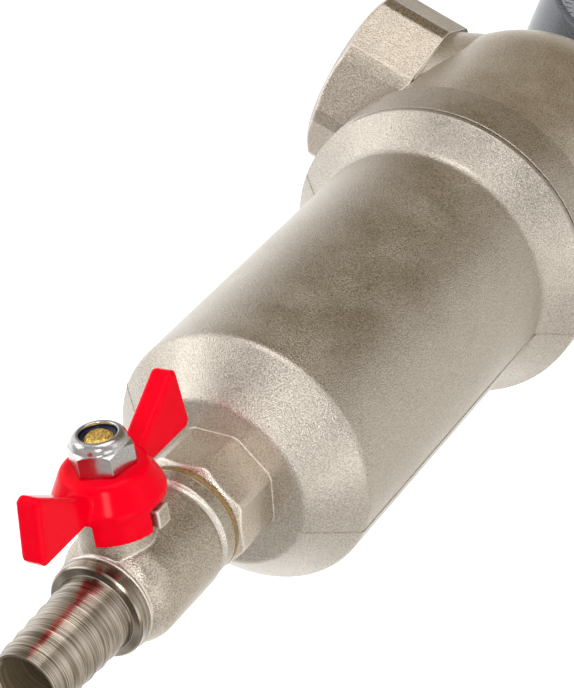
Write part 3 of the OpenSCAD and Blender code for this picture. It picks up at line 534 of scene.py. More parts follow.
BALL_CHROME = Finish(
    "ball_chrome", "chromed_ball", (0.84, 0.85, 0.86), (0.76, 0.77, 0.79), 1.0, 0.08,
    Grain.TURNED, depth=0.004 * MM, swing=0.03,
)
CLEAR_WINDOW = ClearFinish("clear_window", "window_clear", (0.86, 0.89, 0.98))


class Bench:
    """Mesh work that the sub-assemblies share."""

    solid_weld = 0.002 * MM
    made_weld = 0.001 * MM

    def __init__(self) -> None:
        """Starts with no material made."""
        self._made: dict[str, bpy.types.Material] = {}

    def material(self, finish: AnyFinish) -> bpy.types.Material:
        """Finds the material of a finish and makes it at its first use.

        Args:
            finish: The finish.

        Returns:
            Its material.
        """
        if finish.name not in self._made:
            self._made[finish.name] = finish.build()
        return self._made[finish.name]

    def paint_node(self, node: str, finish: AnyFinish) -> None:
        """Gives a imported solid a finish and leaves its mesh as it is.

        Args:
            node: The solid's name.
            finish: The finish.
        """
        slots = frame["nodes"][node].data.materials
        slots.clear()
        slots.append(self.material(finish))
        LOG.info("painted %s with %s", node, finish.name)

    def copy_node(self, node: str, smooth_angle: float = SMOOTH_ANGLE) -> bpy.types.Object:
        """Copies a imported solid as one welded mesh.

        Args:
            node: The solid's name.
            smooth_angle: Edges flatter than this angle in degrees are shaded smooth.

        Returns:
            The new object, at the origin.
        """
        mesh = frame["nodes"][node].data.copy()
        mesh.name = node + "_dressed"
        mesh.materials.clear()
        with self.edited(mesh, smooth_angle) as shape:
            bmesh.ops.remove_doubles(shape, verts=shape.verts, dist=self.solid_weld)
        return self.show(mesh.name, mesh)

    @staticmethod
    @contextmanager
    def edited(
        mesh: bpy.types.Mesh, smooth_angle: float = SMOOTH_ANGLE
    ) -> Iterator[bmesh.types.BMesh]:
        """Opens a mesh for an edit, then shades it smooth but for its sharp edges.

        Args:
            mesh: The mesh.
            smooth_angle: Edges flatter than this angle in degrees are shaded smooth.

        Yields:
            The mesh under construction.
        """
        shape = bmesh.new()
        shape.from_mesh(mesh)
        yield shape
        limit = math.radians(smooth_angle)
        for face in shape.faces:
            face.smooth = True
        for edge in shape.edges:
            edge.smooth = len(edge.link_faces) == 2 and edge.calc_face_angle(0.0) < limit
        shape.to_mesh(mesh)
        shape.free()

    @staticmethod
    def show(name: str, data: bpy.types.ID) -> bpy.types.Object:
        """Puts a mesh, text, lamp or camera into the scene.

        Args:
            name: Name of the object.
            data: What it shows.

        Returns:
            The new object, at the origin.
        """
        made = bpy.data.objects.new(name, data)
        bpy.context.scene.collection.objects.link(made)
        return made

    @staticmethod
    def mesh_of(piece: bpy.types.Object) -> bpy.types.Mesh:
        """Makes a plain mesh of what an object's modifiers or letters give.

        Args:
            piece: The object.

        Returns:
            The new mesh.
        """
        bpy.context.view_layer.update()
        ready = piece.evaluated_get(bpy.context.evaluated_depsgraph_get())
        return bpy.data.meshes.new_from_object(ready)

    def plain_mesh(self, piece: bpy.types.Object) -> None:
        """Turns what a piece's modifiers make into its plain mesh and removes them.

        Args:
            piece: The piece.
        """
        mesh = self.mesh_of(piece)
        piece.modifiers.clear()
        piece.data = mesh

    def lathe(self, name: str, outline: Outline, place: Matrix, steps: int = 96) -> bpy.types.Object:
        """Turns a closed outline of (radius, height) pairs about the local z axis."""
        return self.loft(name, [outline] * steps, place)

    def loft(self, name: str, outlines: list[Outline], place: Matrix) -> bpy.types.Object:
        """Joins closed outlines that stand evenly round the local z axis.

        Args:
            name: Name of the piece.
            outlines: One closed outline of (radius, height) pairs for each step of the turn.
            place: Matrix from the local frame to the part's frame.

        Returns:
            The joined piece, with its faces turned outwards.
        """
        steps, ring = len(outlines), len(outlines[0])
        turns = np.linspace(0.0, 2 * math.pi, steps, endpoint=False)[:, None]
        radius, height = np.moveaxis(np.array(outlines), 2, 0)
        points = np.stack([radius * np.cos(turns), radius * np.sin(turns), height], axis=2)
        faces = []
        for i in range(steps):
            a, b = i * ring, (i + 1) % steps * ring
            for k in range(ring):
                faces.append((a + k, b + k, b + (k + 1) % ring, a + (k + 1) % ring))
        mesh = bpy.data.meshes.new(name)
        mesh.from_pydata([tuple(p) for p in points.reshape(-1, 3)], [], faces)
        with self.edited(mesh) as shape:
            bmesh.ops.remove_doubles(shape, verts=shape.verts, dist=self.made_weld)
            bmesh.ops.recalc_face_normals(shape, faces=shape.faces)
        mesh.transform(place)
        return self.show(name, mesh)

    def finish_piece(
        self, piece: bpy.types.Object, body: str, finish: AnyFinish, replaced: tuple[str, ...] = ()
    ) -> None:
        """Dresses a piece and ties it to its body.

        Args:
            piece: The piece, at the origin with its place in its mesh.
            body: The body that it moves with.
            finish: Its finish.
            replaced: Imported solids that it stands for.
        """
        if not piece.data.materials:
            piece.data.materials.append(self.material(finish))
        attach(piece, body)
        if replaced:
            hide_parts(*replaced)
        LOG.info("made %s on %s with %d faces", piece.name, body, len(piece.data.polygons))

    @staticmethod
    def surface(node: str) -> BVHTree:
        """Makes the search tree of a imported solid's faces.

        Args:
            node: The solid's name.

        Returns:
            The search tree.
        """
        mesh = frame["nodes"][node].data
        points = [v.co for v in mesh.vertices]
        return BVHTree.FromPolygons(points, [tuple(p.vertices) for p in mesh.polygons])


class PieceTree(Graph):
    """A geometry node tree with named inputs that ends in plain, painted geometry."""

    def __init__(self, name: str, inputs: dict[str, str]) -> None:
        """Starts the tree.

        Args:
            name: Name of the tree.
            inputs: Kind of each input by its name. The material's input comes after them.
        """
        super().__init__(bpy.data.node_groups.new(name, "GeometryNodeTree"))
        face = self.tree.interface
        self.ids: dict[str, str] = {}
        for key, kind in {**inputs, "Material": "Material"}.items():
            made = face.new_socket(key, in_out="INPUT", socket_type="NodeSocket" + kind)
            self.ids[key] = made.identifier
        face.new_socket("Piece", in_out="OUTPUT", socket_type="NodeSocketGeometry")
        self.start = self.node("NodeGroupInput")

    def given(self, key: str) -> Sock:
        """Wraps one of the tree's inputs."""
        return self.out(self.start, key)

    def close(self, made: bpy.types.Node) -> None:
        """Ends the tree: instances become plain geometry, which gets the material.

        Args:
            made: The node whose geometry the tree gives out.
        """
        real = self.node("GeometryNodeRealizeInstances", {}, {"Geometry": self.out(made)})
        sockets = {"Geometry": self.out(real), "Material": self.given("Material")}
        painted = self.node("GeometryNodeSetMaterial", {}, sockets)
        self.node("NodeGroupOutput", {}, {"Piece": self.out(painted)})

    def run(self, bench: Bench, piece: bpy.types.Object, finish: Finish, **values: object) -> None:
        """Gives a piece the plain mesh that the tree makes.

        Args:
            bench: Shared mesh work.
            piece: The piece.
            finish: Its finish.
            **values: The tree's inputs by name.
        """
        modifier = piece.modifiers.new(self.tree.name, "NODES")
        modifier.node_group = self.tree
        for key, value in {**values, "Material": bench.material(finish)}.items():
            modifier[self.ids[key]] = value
        bench.plain_mesh(piece)


class RidgeTree(PieceTree):
    """Geometry nodes that lay a round ridge along a chain of edges."""

    sides = 8

    def __init__(self) -> None:
        """Builds the tree with its named inputs."""
        super().__init__("casting_ridge", {"Chain": "Geometry", "Radius": "Float"})
        curve = self.node("GeometryNodeMeshToCurve", {}, {"Mesh": self.given("Chain")})
        sockets = {"Resolution": self.sides, "Radius": self.given("Radius")}
        section = self.node("GeometryNodeCurvePrimitiveCircle", {}, sockets)
        sockets = {"Curve": self.out(curve), "Profile Curve": self.out(section), "Fill Caps": True}
        self.close(self.node("GeometryNodeCurveToMesh", {}, sockets))

    def lay(
        self, bench: Bench, name: str, chains: list[list[Vector]], radius: float, finish: Finish
    ) -> bpy.types.Object:
        """Lays ridges along chains of points.

        Args:
            bench: Shared mesh work.
            name: Name of the piece.
            chains: Points of each ridge.
            radius: Radius of the ridge.
            finish: Finish of the ridge.

        Returns:
            The ridges as one plain mesh.
        """
        points: list[Vector] = []
        edges: list[tuple[int, int]] = []
        for chain in chains:
            first = len(points)
            points.extend(chain)
            edges.extend((first + i, first + i + 1) for i in range(len(chain) - 1))
        mesh = bpy.data.meshes.new(name)
        mesh.from_pydata(points, edges, [])
        piece = bench.show(name, mesh)
        self.run(bench, piece, finish, Radius=radius)
        for polygon in piece.data.polygons:
            polygon.use_smooth = True
        return piece


class TickTree(PieceTree):
    """Geometry nodes that set flat bars round a dial."""

    def __init__(self) -> None:
        """Builds the tree with its named inputs."""
        kinds = {"Count": "Int", "Size": "Vector"}
        kinds.update({key: "Float" for key in ("Radius", "Start", "Sweep")})
        super().__init__("dial_ticks", kinds)
        count, radius = self.given("Count"), self.given("Radius")
        line = self.node("GeometryNodeMeshLine", {}, {"Count": count, "Offset": (0.0, 0.0, 0.0)})
        number = self.out(self.node("GeometryNodeInputIndex"))
        turn = self.given("Start") - self.given("Sweep") * number / (count - 1.0)
        sockets = {0: turn.cosine() * radius, 1: turn.sine() * radius}
        place = self.node("ShaderNodeCombineXYZ", {}, sockets)
        sockets = {"Geometry": self.out(line), "Position": self.out(place)}
        placed = self.node("GeometryNodeSetPosition", {}, sockets)
        bar = self.node("GeometryNodeMeshCube", {}, {"Size": self.given("Size")})
        turned = self.node("ShaderNodeCombineXYZ", {}, {2: turn})
        sockets = {"Points": self.out(placed), "Instance": self.out(bar), "Rotation": self.out(turned)}
        self.close(self.node("GeometryNodeInstanceOnPoints", {}, sockets))

    def ring(
        self, bench: Bench, name: str, place: Matrix, finish: Finish, **values: object
    ) -> bpy.types.Object:
        """Makes one ring of ticks.

        Args:
            bench: Shared mesh work.
            name: Name of the piece.
            place: Matrix from the dial's frame to the part's frame.
            finish: Finish of the ticks.
            **values: The tree's inputs by name.

        Returns:
            The ticks as one plain mesh.
        """
        piece = bench.show(name, bpy.data.meshes.new(name))
        self.run(bench, piece, finish, **values)
        piece.data.transform(place)
        return piece


@dataclass
class Castings:
    """Head and bowl: castings with threaded ports, a dome and boss painted lighter as painted light,
    and parting ridges.

    A run of a parting ridge holds its first and last millimetre and its number of points.
    """

    bench: Bench
    thread_r: float = 15.15 * MM
    thread_depth: float = 1.2 * MM
    thread_pitch: float = 2.309 * MM
    thread_len: float = 14 * MM
    thread_rows: int = 84
    thread_fade_in: float = 12.0
    thread_fade_out: float = 5.0
    thread_crest: float = 1.25
    wall_play: float = 0.02 * MM
    rim_play: float = 0.001 * MM
    port_len: float = 16.2 * MM
    collar_top: float = -27.25 * MM
    boss_h: float = 11.4 * MM
    smooth_angle: float = 14.0
    ridge_r: float = 0.12 * MM
    wall_runs: tuple[Run, ...] = ((-38.2, -44.5, 12), (-47.0, -116.0, 12), (-117.0, -119.0, 6))
    cone_run: Run = (24.0, 12.6, 14)
    collar_run: Run = (-37.2, -27.9, 6)
    ledge_run: Run = (31.0, 29.8, 2)
    barrel_run: Run = (-26.6, -22.5, 4)
    above_ledge: float = -24 * MM
    beside: float = 100 * MM
    below: float = 50 * MM
    axis: Vector = field(init=False)

    def __post_init__(self) -> None:
        """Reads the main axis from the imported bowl."""
        low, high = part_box("bowl")
        self.axis = (low + high) / 2

    def build(self) -> None:
        """Makes both castings, their threads and ridges."""
        head = self.bench.copy_node("head", self.smooth_angle)
        self._cut_threads(head)
        self._paint_head(head)
        self.bench.finish_piece(head, "housing", CAST_NICKEL, ("head",))
        bowl = self.bench.copy_node("bowl", self.smooth_angle)
        self._paint_bowl(bowl)
        self.bench.finish_piece(bowl, "housing", CAST_NICKEL, ("bowl",))
        chains = self._bowl_chains() + self._head_chains()
        ridges = RidgeTree().lay(self.bench, "parting_ridges", chains, self.ridge_r, CAST_NICKEL)
        self.bench.finish_piece(ridges, "housing", CAST_NICKEL)

    def _cut_threads(self, head: bpy.types.Object) -> None:
        """Replaces the plain wall of both ports by a thread that is welded to the casting.

        Args:
            head: The head under construction.
        """
        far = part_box("head")[1].x
        with self.bench.edited(head.data, self.smooth_angle) as shape:
            for mouth, floor in ((0.0, self.thread_len), (far, far - self.thread_len)):
                points = {v for v in shape.verts if self._on_wall(v.co, mouth, floor)}
                wall = [f for f in shape.faces if points.issuperset(f.verts)]
                bmesh.ops.delete(shape, geom=wall, context="FACES")
                rims = [self._rim(shape, x) for x in (mouth, floor)]
                if len(rims[0]) == len(rims[1]) and rims[0]:
                    self._weave_thread(shape, rims, mouth, floor)
                else:
                    LOG.warning("port rims differ: %d and %d points", len(rims[0]), len(rims[1]))
            loose = [v for v in shape.verts if not v.link_faces]
            bmesh.ops.delete(shape, geom=loose, context="VERTS")
            bmesh.ops.recalc_face_normals(shape, faces=shape.faces)

    def _on_wall(self, point: Vector, first: float, last: float) -> bool:
        """Tells whether a point lies on a port's threaded wall between two places along x."""
        near = abs(math.hypot(point.y, point.z) - self.thread_r) < self.wall_play
        return near and min(first, last) - self.rim_play <= point.x <= max(first, last) + self.rim_play

    def _rim(self, shape: bmesh.types.BMesh, x: float) -> list[bmesh.types.BMVert]:
        """Points of the open rim at x, in the order of their angle."""
        found = [v for v in shape.verts if self._on_wall(v.co, x, x) and v.is_boundary]
        return sorted(found, key=lambda v: math.atan2(v.co.z, v.co.y))

    def _weave_thread(
        self, shape: bmesh.types.BMesh, rims: list[list[bmesh.types.BMVert]], mouth: float, floor: float
    ) -> None:
        """Fills the wall between two rims with a helical thread.

        Args:
            shape: The head under construction.
            rims: Points of the outer and the inner rim.
            mouth: Place of the outer rim along x.
            floor: Place of the inner rim along x.
        """
        rows = [rims[0]]
        for j in range(1, self.thread_rows):
            share = j / self.thread_rows
            x = mouth + share * (floor - mouth)
            fade = min(1.0, self.thread_fade_in * share, self.thread_fade_out * (1 - share))
            row = []
            for v in rims[0]:
                turn = math.atan2(v.co.z, v.co.y)
                phase = ((x - mouth) / self.thread_pitch + turn / (2 * math.pi)) % 1.0
                groove = min(1.0, self.thread_crest * (1 - abs(2 * phase - 1)))
                radius = self.thread_r + fade * self.thread_depth * groove
                row.append(shape.verts.new((x, radius * math.cos(turn), radius * math.sin(turn))))
            rows.append(row)
        rows.append(rims[1])
        count = len(rims[0])
        for upper, lower in zip(rows, rows[1:]):
            for k in range(count):
                shape.faces.new((upper[k], upper[(k + 1) % count], lower[(k + 1) % count], lower[k]))

    def _paint_head(self, head: bpy.types.Object) -> None:
        """Gives the ports with their threads a rougher finish, and the dome a lighter copy with a finer
        grain: its lighter tone is painted light.

        Args:
            head: The head under construction.
        """
        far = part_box("head")[1].x
        for finish in (CAST_NICKEL, ROUGH_NICKEL, LIT_DOME_NICKEL):
            head.data.materials.append(self.bench.material(finish))
        for polygon in head.data.polygons:
            depth = min(polygon.center.x, far - polygon.center.x)
            above = polygon.center.z > self.collar_top
            # Faces above the collar get the lighter dome copy: painted light on the top of the head.
            polygon.material_index = 1 if depth < self.port_len else 2 * int(above)

    def _paint_bowl(self, bowl: bpy.types.Object) -> None:
        """Gives the drain octagon a lighter copy of the nickel: painted light on the boss.

        Args:
            bowl: The bowl under construction.
        """
        for finish in (CAST_NICKEL, LIT_BOSS_NICKEL):
            bowl.data.materials.append(self.bench.material(finish))
        boss_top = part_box("bowl")[0].z + self.boss_h
        for polygon in bowl.data.polygons:
            # The octagon's faces get the lighter copy: painted light.
            polygon.material_index = int(polygon.center.z < boss_top)

    @staticmethod
    def _steps(run: Run) -> np.ndarray:
        """Even steps along a run, in metres."""
        return np.linspace(run[0] * MM, run[1] * MM, run[2])

    @staticmethod
    def _cast_points(tree: BVHTree, starts: list[Vector], way: Vector) -> list[Vector]:
        """Points where rays from the starts meet a surface."""
        hits = [tree.ray_cast(start, way)[0] for start in starts]
        return [hit for hit in hits if hit is not None]

    def _from_side(self, tree: BVHTree, side: float, heights: np.ndarray) -> list[Vector]:
        """Points at some heights where the parting plane is met from the left (-1) or right (1)."""
        x = self.axis.x + side * self.beside
        return self._cast_points(tree, [Vector((x, 0, z)) for z in heights], Vector((-side, 0, 0)))

    def _from_end(
        self, tree: BVHTree, side: float, run: Run, start_z: float, way: float
    ) -> list[Vector]:
        """Points at a run from the axis where the parting plane is met upwards (1) or down (-1)."""
        starts = [Vector((self.axis.x + side * r, 0, start_z)) for r in self._steps(run)]
        return self._cast_points(tree, starts, Vector((0, 0, way)))

    def _bowl_chains(self) -> list[list[Vector]]:
        """Finds the parting lines of the bowl, from the flange down to the drain octagon.

        Returns:
            The points of each line.
        """
        tree = self.bench.surface("bowl")
        start_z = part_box("bowl")[0].z - self.below
        heights = np.concatenate([self._steps(run) for run in self.wall_runs])
        return [
            self._from_side(tree, side, heights)
            + self._from_end(tree, side, self.cone_run, start_z, 1.0)
            for side in (-1.0, 1.0)
        ]

    def _head_chains(self) -> list[list[Vector]]:
        """Points of the head's parting lines, up the collar and the barrel to the ports."""
        tree = self.bench.surface("head")
        return [
            self._from_side(tree, side, self._steps(self.collar_run))
            + self._from_end(tree, side, self.ledge_run, self.above_ledge, -1.0)
            + self._from_side(tree, side, self._steps(self.barrel_run))
            for side in (-1.0, 1.0)
        ]


@dataclass
class HoseTail:
    """Turned hose tail with barbs, fine turning grooves and a bevelled mouth."""

    bench: Bench
    flange_r: float = 9.1 * MM
    flange_t: float = 2.85 * MM
    barb_len: float = 21.6 * MM
    root_r: float = 7.4 * MM
    end_r: float = 6.7 * MM
    barbs: int = 6
    barb_step: float = 0.45 * MM
    bore_r: float = 5.3 * MM
    bore_play: float = 0.1 * MM
    groove_pitch: float = 0.36 * MM
    groove_depth: float = 0.05 * MM
    edge: float = 0.35 * MM
    mouth_edge: float = 0.3 * MM
    mouth_bevel: float = 0.5 * MM
    steps: int = 120

    def build(self) -> None:
        """Makes the tail."""
        low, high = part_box("hose_tail")
        centre = (low + high) / 2
        top = low.z + self.barb_len + self.flange_t
        place = Matrix.Translation((centre.x, centre.y, top))
        piece = self.bench.lathe("hose_tail_turned", self._outline(), place, self.steps)
        for finish in (TURNED_NICKEL, SHADED_DULL_BORE):
            piece.data.materials.append(self.bench.material(finish))
        # Bore faces get the dull finish, darkened as painted shade.
        for polygon in piece.data.polygons:
            reach = math.hypot(polygon.center.x - centre.x, polygon.center.y - centre.y)
            polygon.material_index = int(reach < self.bore_r + self.bore_play)
        self.bench.finish_piece(piece, "housing", TURNED_NICKEL, ("hose_tail",))

    def _outline(self) -> Outline:
        """Draws the tail's half section.

        Returns:
            Closed outline from the flange's top, down the barbs and up the bore.
        """
        flange = [
            (self.bore_r, 0.0),
            (self.flange_r - self.edge, 0.0),
            (self.flange_r, -self.edge),
            (self.flange_r, -self.flange_t + self.edge),
            (self.flange_r - self.edge, -self.flange_t),
            (self.root_r + 0.5 * self.edge, -self.flange_t),
        ]
        pitch = self.barb_len / self.barbs
        grooves = int(pitch / self.groove_pitch)
        barbs = []
        for i in range(self.barbs):
            wide = self.root_r + (self.end_r - self.root_r) * i / self.barbs
            slim = self.root_r + (self.end_r - self.root_r) * (i + 1) / self.barbs - self.barb_step
            for k in range(2 * grooves):
                share = (k + 0.5) / (2 * grooves)
                dip = self.groove_depth * (k % 2)
                barbs.append((wide + (slim - wide) * share - dip, -self.flange_t - pitch * (i + share)))
        end = -self.flange_t - self.barb_len
        mouth = [
            (self.end_r - self.barb_step - self.mouth_edge, end),
            (self.bore_r + self.mouth_bevel, end),
            (self.bore_r, end + self.mouth_bevel),
        ]
        return flange + barbs + mouth


@dataclass
class DrainValve:
    """Drain valve: cast body, seal, lever with wings, lock nut, stem and locking ring."""

    bench: Bench
    body_angle: float = 20.0
    seal_bore: float = 8.3 * MM
    seal_points: int = 9
    voxel: float = 0.28 * MM
    soften: int = 4
    soften_share: float = 0.5
    insert_r: float = 3.75 * MM
    insert_bore: float = 2.42 * MM
    insert_t: float = 1.6 * MM
    insert_drop: float = 0.7 * MM
    insert_play: float = 0.05 * MM
    insert_points: int = 11
    stem_end_r: float = 2.3 * MM
    stem_bevel: float = 1.5 * MM
    stem_angle: float = 25.0
    nut_top: float = 29.6 * MM
    nut_h: float = 6.0 * MM
    nut_af: float = 10.0 * MM
    nut_shoulder: float = 4.1 * MM
    nut_bore: float = 3.05 * MM
    nut_turn: float = math.radians(20)
    nut_cut: float = math.radians(35)
    nut_under_share: float = 0.6
    nut_step: float = 3.0
    crown_r: float = 4.9 * MM
    crown_rise: float = 0.2 * MM
    crown_points: int = 9
    lip_mid: float = 3.6 * MM
    lip_r: float = 0.3 * MM
    place: Matrix = field(init=False)

    def __post_init__(self) -> None:
        """Reads the stem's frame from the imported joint: z out along the stem, y up the pipe."""
        joint = next(j for j in frame["joints"] if j["name"] == "drain_turn")
        out = -Vector(joint["axis"]).normalized()
        up = Vector((0, 0, 1))
        across = up.cross(out)
        turn = Matrix((across, up, out)).transposed().to_4x4()
        self.place = Matrix.Translation(joint["pos_m"]) @ turn

    def build(self) -> None:
        """Makes body, seal, lever, nut, stem and locking ring."""
        body = self.bench.copy_node("valve_body", self.body_angle)
        self.bench.finish_piece(body, "housing", ROUGH_NICKEL, ("valve_body",))
        self._seal()
        self._lever()
        self._nut()
        self._stem()
        self._insert()

    @staticmethod
    def _bow(middle: float, height: float, wide: float, tall: float, turns: np.ndarray) -> Outline:
        """Points of an ellipse at some angles, from the place of its centre and its half sizes."""
        return [(middle + wide * math.cos(a), height + tall * math.sin(a)) for a in turns]

    def _seal(self) -> None:
        """Makes the amber ring with rounded edges."""
        low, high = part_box("joint_seal")
        outer = (high.x - low.x) / 2
        tall = high.z - low.z
        half = tall / 2
        turns = np.linspace(-math.pi / 2, math.pi / 2, self.seal_points)
        rim = self._bow(outer - half, half, half, half, turns)
        centre = (low + high) / 2
        place = Matrix.Translation((centre.x, centre.y, low.z))
        outline = [(self.seal_bore, 0.0), *rim, (self.seal_bore, tall)]
        piece = self.bench.lathe("joint_seal_ring", outline, place)
        self.bench.finish_piece(piece, "housing", AMBER_SEAL, ("joint_seal",))

    def _lever(self) -> None:
        """Makes the red lever with the soft corners of a painted casting."""
        piece = self.bench.copy_node("handle")
        piece.name = "lever_wings"
        remesh = piece.modifiers.new("even", "REMESH")
        remesh.mode = "VOXEL"
        remesh.voxel_size = self.voxel
        soft = piece.modifiers.new("soft", "SMOOTH")
        soft.factor = self.soften_share
        soft.iterations = self.soften
        self.bench.plain_mesh(piece)
        for polygon in piece.data.polygons:
            polygon.use_smooth = True
        self.bench.finish_piece(piece, "drain_lever", RED_PAINT, ("handle",))

    def _nut(self) -> None:
        """Makes the lock nut with turned corners and a crown that is rolled in over the ring."""
        low = self.nut_top - self.nut_h
        shoulder = low + self.nut_shoulder
        foot = shoulder + self.crown_rise
        flat = self.nut_af / 2
        bend = np.linspace(0, math.pi / 2, self.crown_points)
        crown = self._bow(self.lip_mid, foot, self.crown_r - self.lip_mid, self.nut_top - foot, bend)
        lip_z = self.nut_top - self.lip_r
        lip = self._bow(self.lip_mid, lip_z, self.lip_r, self.lip_r, bend[1:] + math.pi / 2)
        under = self.nut_top - 2 * self.lip_r
        pocket = self.nut_top - self.insert_drop - self.insert_t - self.insert_play
        pocket_r = self.insert_r + self.insert_play
        outlines = []
        for turn in np.radians(np.arange(0.0, 360.0, self.nut_step)):
            reach = flat / math.cos(turn % (math.pi / 3) - math.pi / 6)
            cut = (reach - flat) * math.tan(self.nut_cut)
            outlines.append([
                (self.nut_bore, low),
                (flat, low),
                (reach, low + self.nut_under_share * cut),
                (reach, shoulder - cut),
                (flat, shoulder),
                *crown,
                *lip,
                (self.lip_mid - self.lip_r, under),
                (pocket_r, under),
                (pocket_r, pocket),
                (self.nut_bore, pocket),
            ])
        place = self.place @ Matrix.Rotation(self.nut_turn, 4, "Z")
        piece = self.bench.loft("lock_nut", outlines, place)
        self.bench.finish_piece(piece, "drain_lever", ZINC_STEEL, ("handle_nut",))

    def _stem(self) -> None:
        """Makes the stem with a tapered end."""
        piece = self.bench.copy_node("stem", self.stem_angle)
        back = self.place.inverted()
        with self.bench.edited(piece.data, self.stem_angle) as shape:
            start = max((back @ v.co).z for v in shape.verts) - self.stem_bevel
            bmesh.ops.bisect_plane(
                shape,
                geom=[*shape.verts, *shape.edges, *shape.faces],
                plane_co=self.place @ Vector((0, 0, start)),
                plane_no=self.place.to_3x3() @ Vector((0, 0, 1)),
            )
            spots = [(v, back @ v.co) for v in shape.verts]
            tips = [(v, spot) for v, spot in spots if spot.z > start]
            widest = max(math.hypot(spot.x, spot.y) for _, spot in tips)
            for vertex, spot in tips:
                slim = 1 - (1 - self.stem_end_r / widest) * (spot.z - start) / self.stem_bevel
                vertex.co = self.place @ Vector((spot.x * slim, spot.y * slim, spot.z))
        self.bench.finish_piece(piece, "drain_lever", STEM_BRASS, ("stem",))

    def _insert(self) -> None:
        """Makes the dark locking ring with a rounded lip."""
        top = self.nut_top - self.insert_drop
        low = top - self.insert_t
        middle = (self.insert_r + self.insert_bore) / 2
        half = (self.insert_r - self.insert_bore) / 2
        turns = np.linspace(0, math.pi, self.insert_points)
        crown = self._bow(middle, top - half, half, half, turns)
        outline = [(self.nut_bore, low), (self.insert_r, low), *crown]
        piece = self.bench.lathe("locking_ring", outline, self.place)
        self.bench.finish_piece(piece, "drain_lever", NAVY_NYLON, ("nut_insert",))


@dataclass
class Gauge:
    """Pressure gauge: case, crowned window, printed dial and pointer."""

    bench: Bench
    scale_r: float = 19.2 * MM
    unit_bar: tuple[float, float] = (3.2 * MM, 0.7 * MM)
    part_bar: tuple[float, float] = (1.7 * MM, 0.3 * MM)
    figure_r: float = 14.2 * MM
    figure_h: float = 4.0 * MM
    figure_step: int = 2
    start: float = math.radians(225)
    sweep: float = math.radians(270)
    full_scale: int = 10
    parts_per_unit: int = 5
    print_t: float = 0.06 * MM
    crown: float = 0.5 * MM
    crown_rings: int = 12
    centre_r: float = 0.001 * MM
    place: Matrix = field(init=False)
    dial_face: float = field(init=False)

    def __post_init__(self) -> None:
        """Reads the gauge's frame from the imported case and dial: z out of the dial, y up."""
        low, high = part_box("gauge_case")
        centre = (low + high) / 2
        turn = Matrix(((1, 0, 0), (0, 0, 1), (0, -1, 0))).transposed().to_4x4()
        self.place = Matrix.Translation((centre.x, 0.0, centre.z)) @ turn
        self.dial_face = -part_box("gauge_dial")[0].y

    def build(self) -> None:
        """Makes the gauge's outside and its dial."""
        case = self.bench.copy_node("gauge_case")
        self.bench.finish_piece(case, "housing", CASE_PLASTIC, ("gauge_case",))
        self._window()
        self._print()
        for node, finish in (
            ("gauge_dial", DIAL_WHITE),
            ("dial_screws", ZINC_STEEL),
            ("gauge_pointer", POINTER_BLACK),
            ("gauge_washer", COPPER),
        ):
            self.bench.paint_node(node, finish)
        socket = self.bench.copy_node("gauge_socket")
        self.bench.finish_piece(socket, "housing", MOVEMENT_BRASS, ("gauge_socket",))
        for node in (
            "pressure_tube", "tube_tip", "tip_link", "sector_gear", "pinion",
            "movement_back_plate", "movement_front_plate", "movement_pillars",
        ):
            self.bench.paint_node(node, MOVEMENT_BRASS)
        self.bench.paint_node("movement_screws", ZINC_STEEL)

    def _window(self) -> None:
        """Makes the slightly crowned window."""
        low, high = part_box("gauge_window")
        radius = (high.x - low.x) / 2
        back, front = -high.y, -low.y
        reach = np.linspace(radius, 0.0, self.crown_rings)[:-1]
        crowned = [(r, front + self.crown * (1 - (r / radius) ** 2)) for r in reach]
        outline = [(self.centre_r, back), (radius, back), *crowned, (self.centre_r, front + self.crown)]
        piece = self.bench.lathe("gauge_glass", outline, self.place)
        self.bench.finish_piece(piece, "housing", CLEAR_WINDOW, ("gauge_window",))

    def _print(self) -> None:
        """Prints scale marks and figures on the dial."""
        place = self.place @ Matrix.Translation((0, 0, self.dial_face))
        ticks = TickTree()
        pieces = []
        for name, parts, bar in (
            ("unit_marks", self.full_scale, self.unit_bar),
            ("part_marks", self.full_scale * self.parts_per_unit, self.part_bar),
        ):
            pieces.append(ticks.ring(
                self.bench, name, place, POINTER_BLACK, Count=parts + 1, Start=self.start,
                Sweep=self.sweep, Radius=self.scale_r - bar[0] / 2, Size=(*bar, self.print_t),
            ))
        for value in range(0, self.full_scale + 1, self.figure_step):
            pieces.append(self._figure(value, place))
        for piece in pieces:
            self.bench.finish_piece(piece, "housing", POINTER_BLACK)

    def _figure(self, value: int, place: Matrix) -> bpy.types.Object:
        """Makes one figure of the scale as a thin mesh.

        Args:
            value: The number to print.
            place: Matrix from the dial's frame to the part's frame.

        Returns:
            The figure.
        """
        name = f"figure_{value}"
        curve = bpy.data.curves.new(name, "FONT")
        curve.body = str(value)
        curve.size = self.figure_h
        curve.align_x = "CENTER"
        curve.align_y = "CENTER"
        curve.extrude = self.print_t / 2
        text = self.bench.show(name + "_text", curve)
        mesh = self.bench.mesh_of(text)
        bpy.data.objects.remove(text)
        turn = self.start - self.sweep * value / self.full_scale
        spot = (self.figure_r * math.cos(turn), self.figure_r * math.sin(turn), 0.0)
        mesh.transform(place @ Matrix.Translation(spot))
        mesh.materials.clear()
        mesh.name = name
        return self.bench.show(name, mesh)


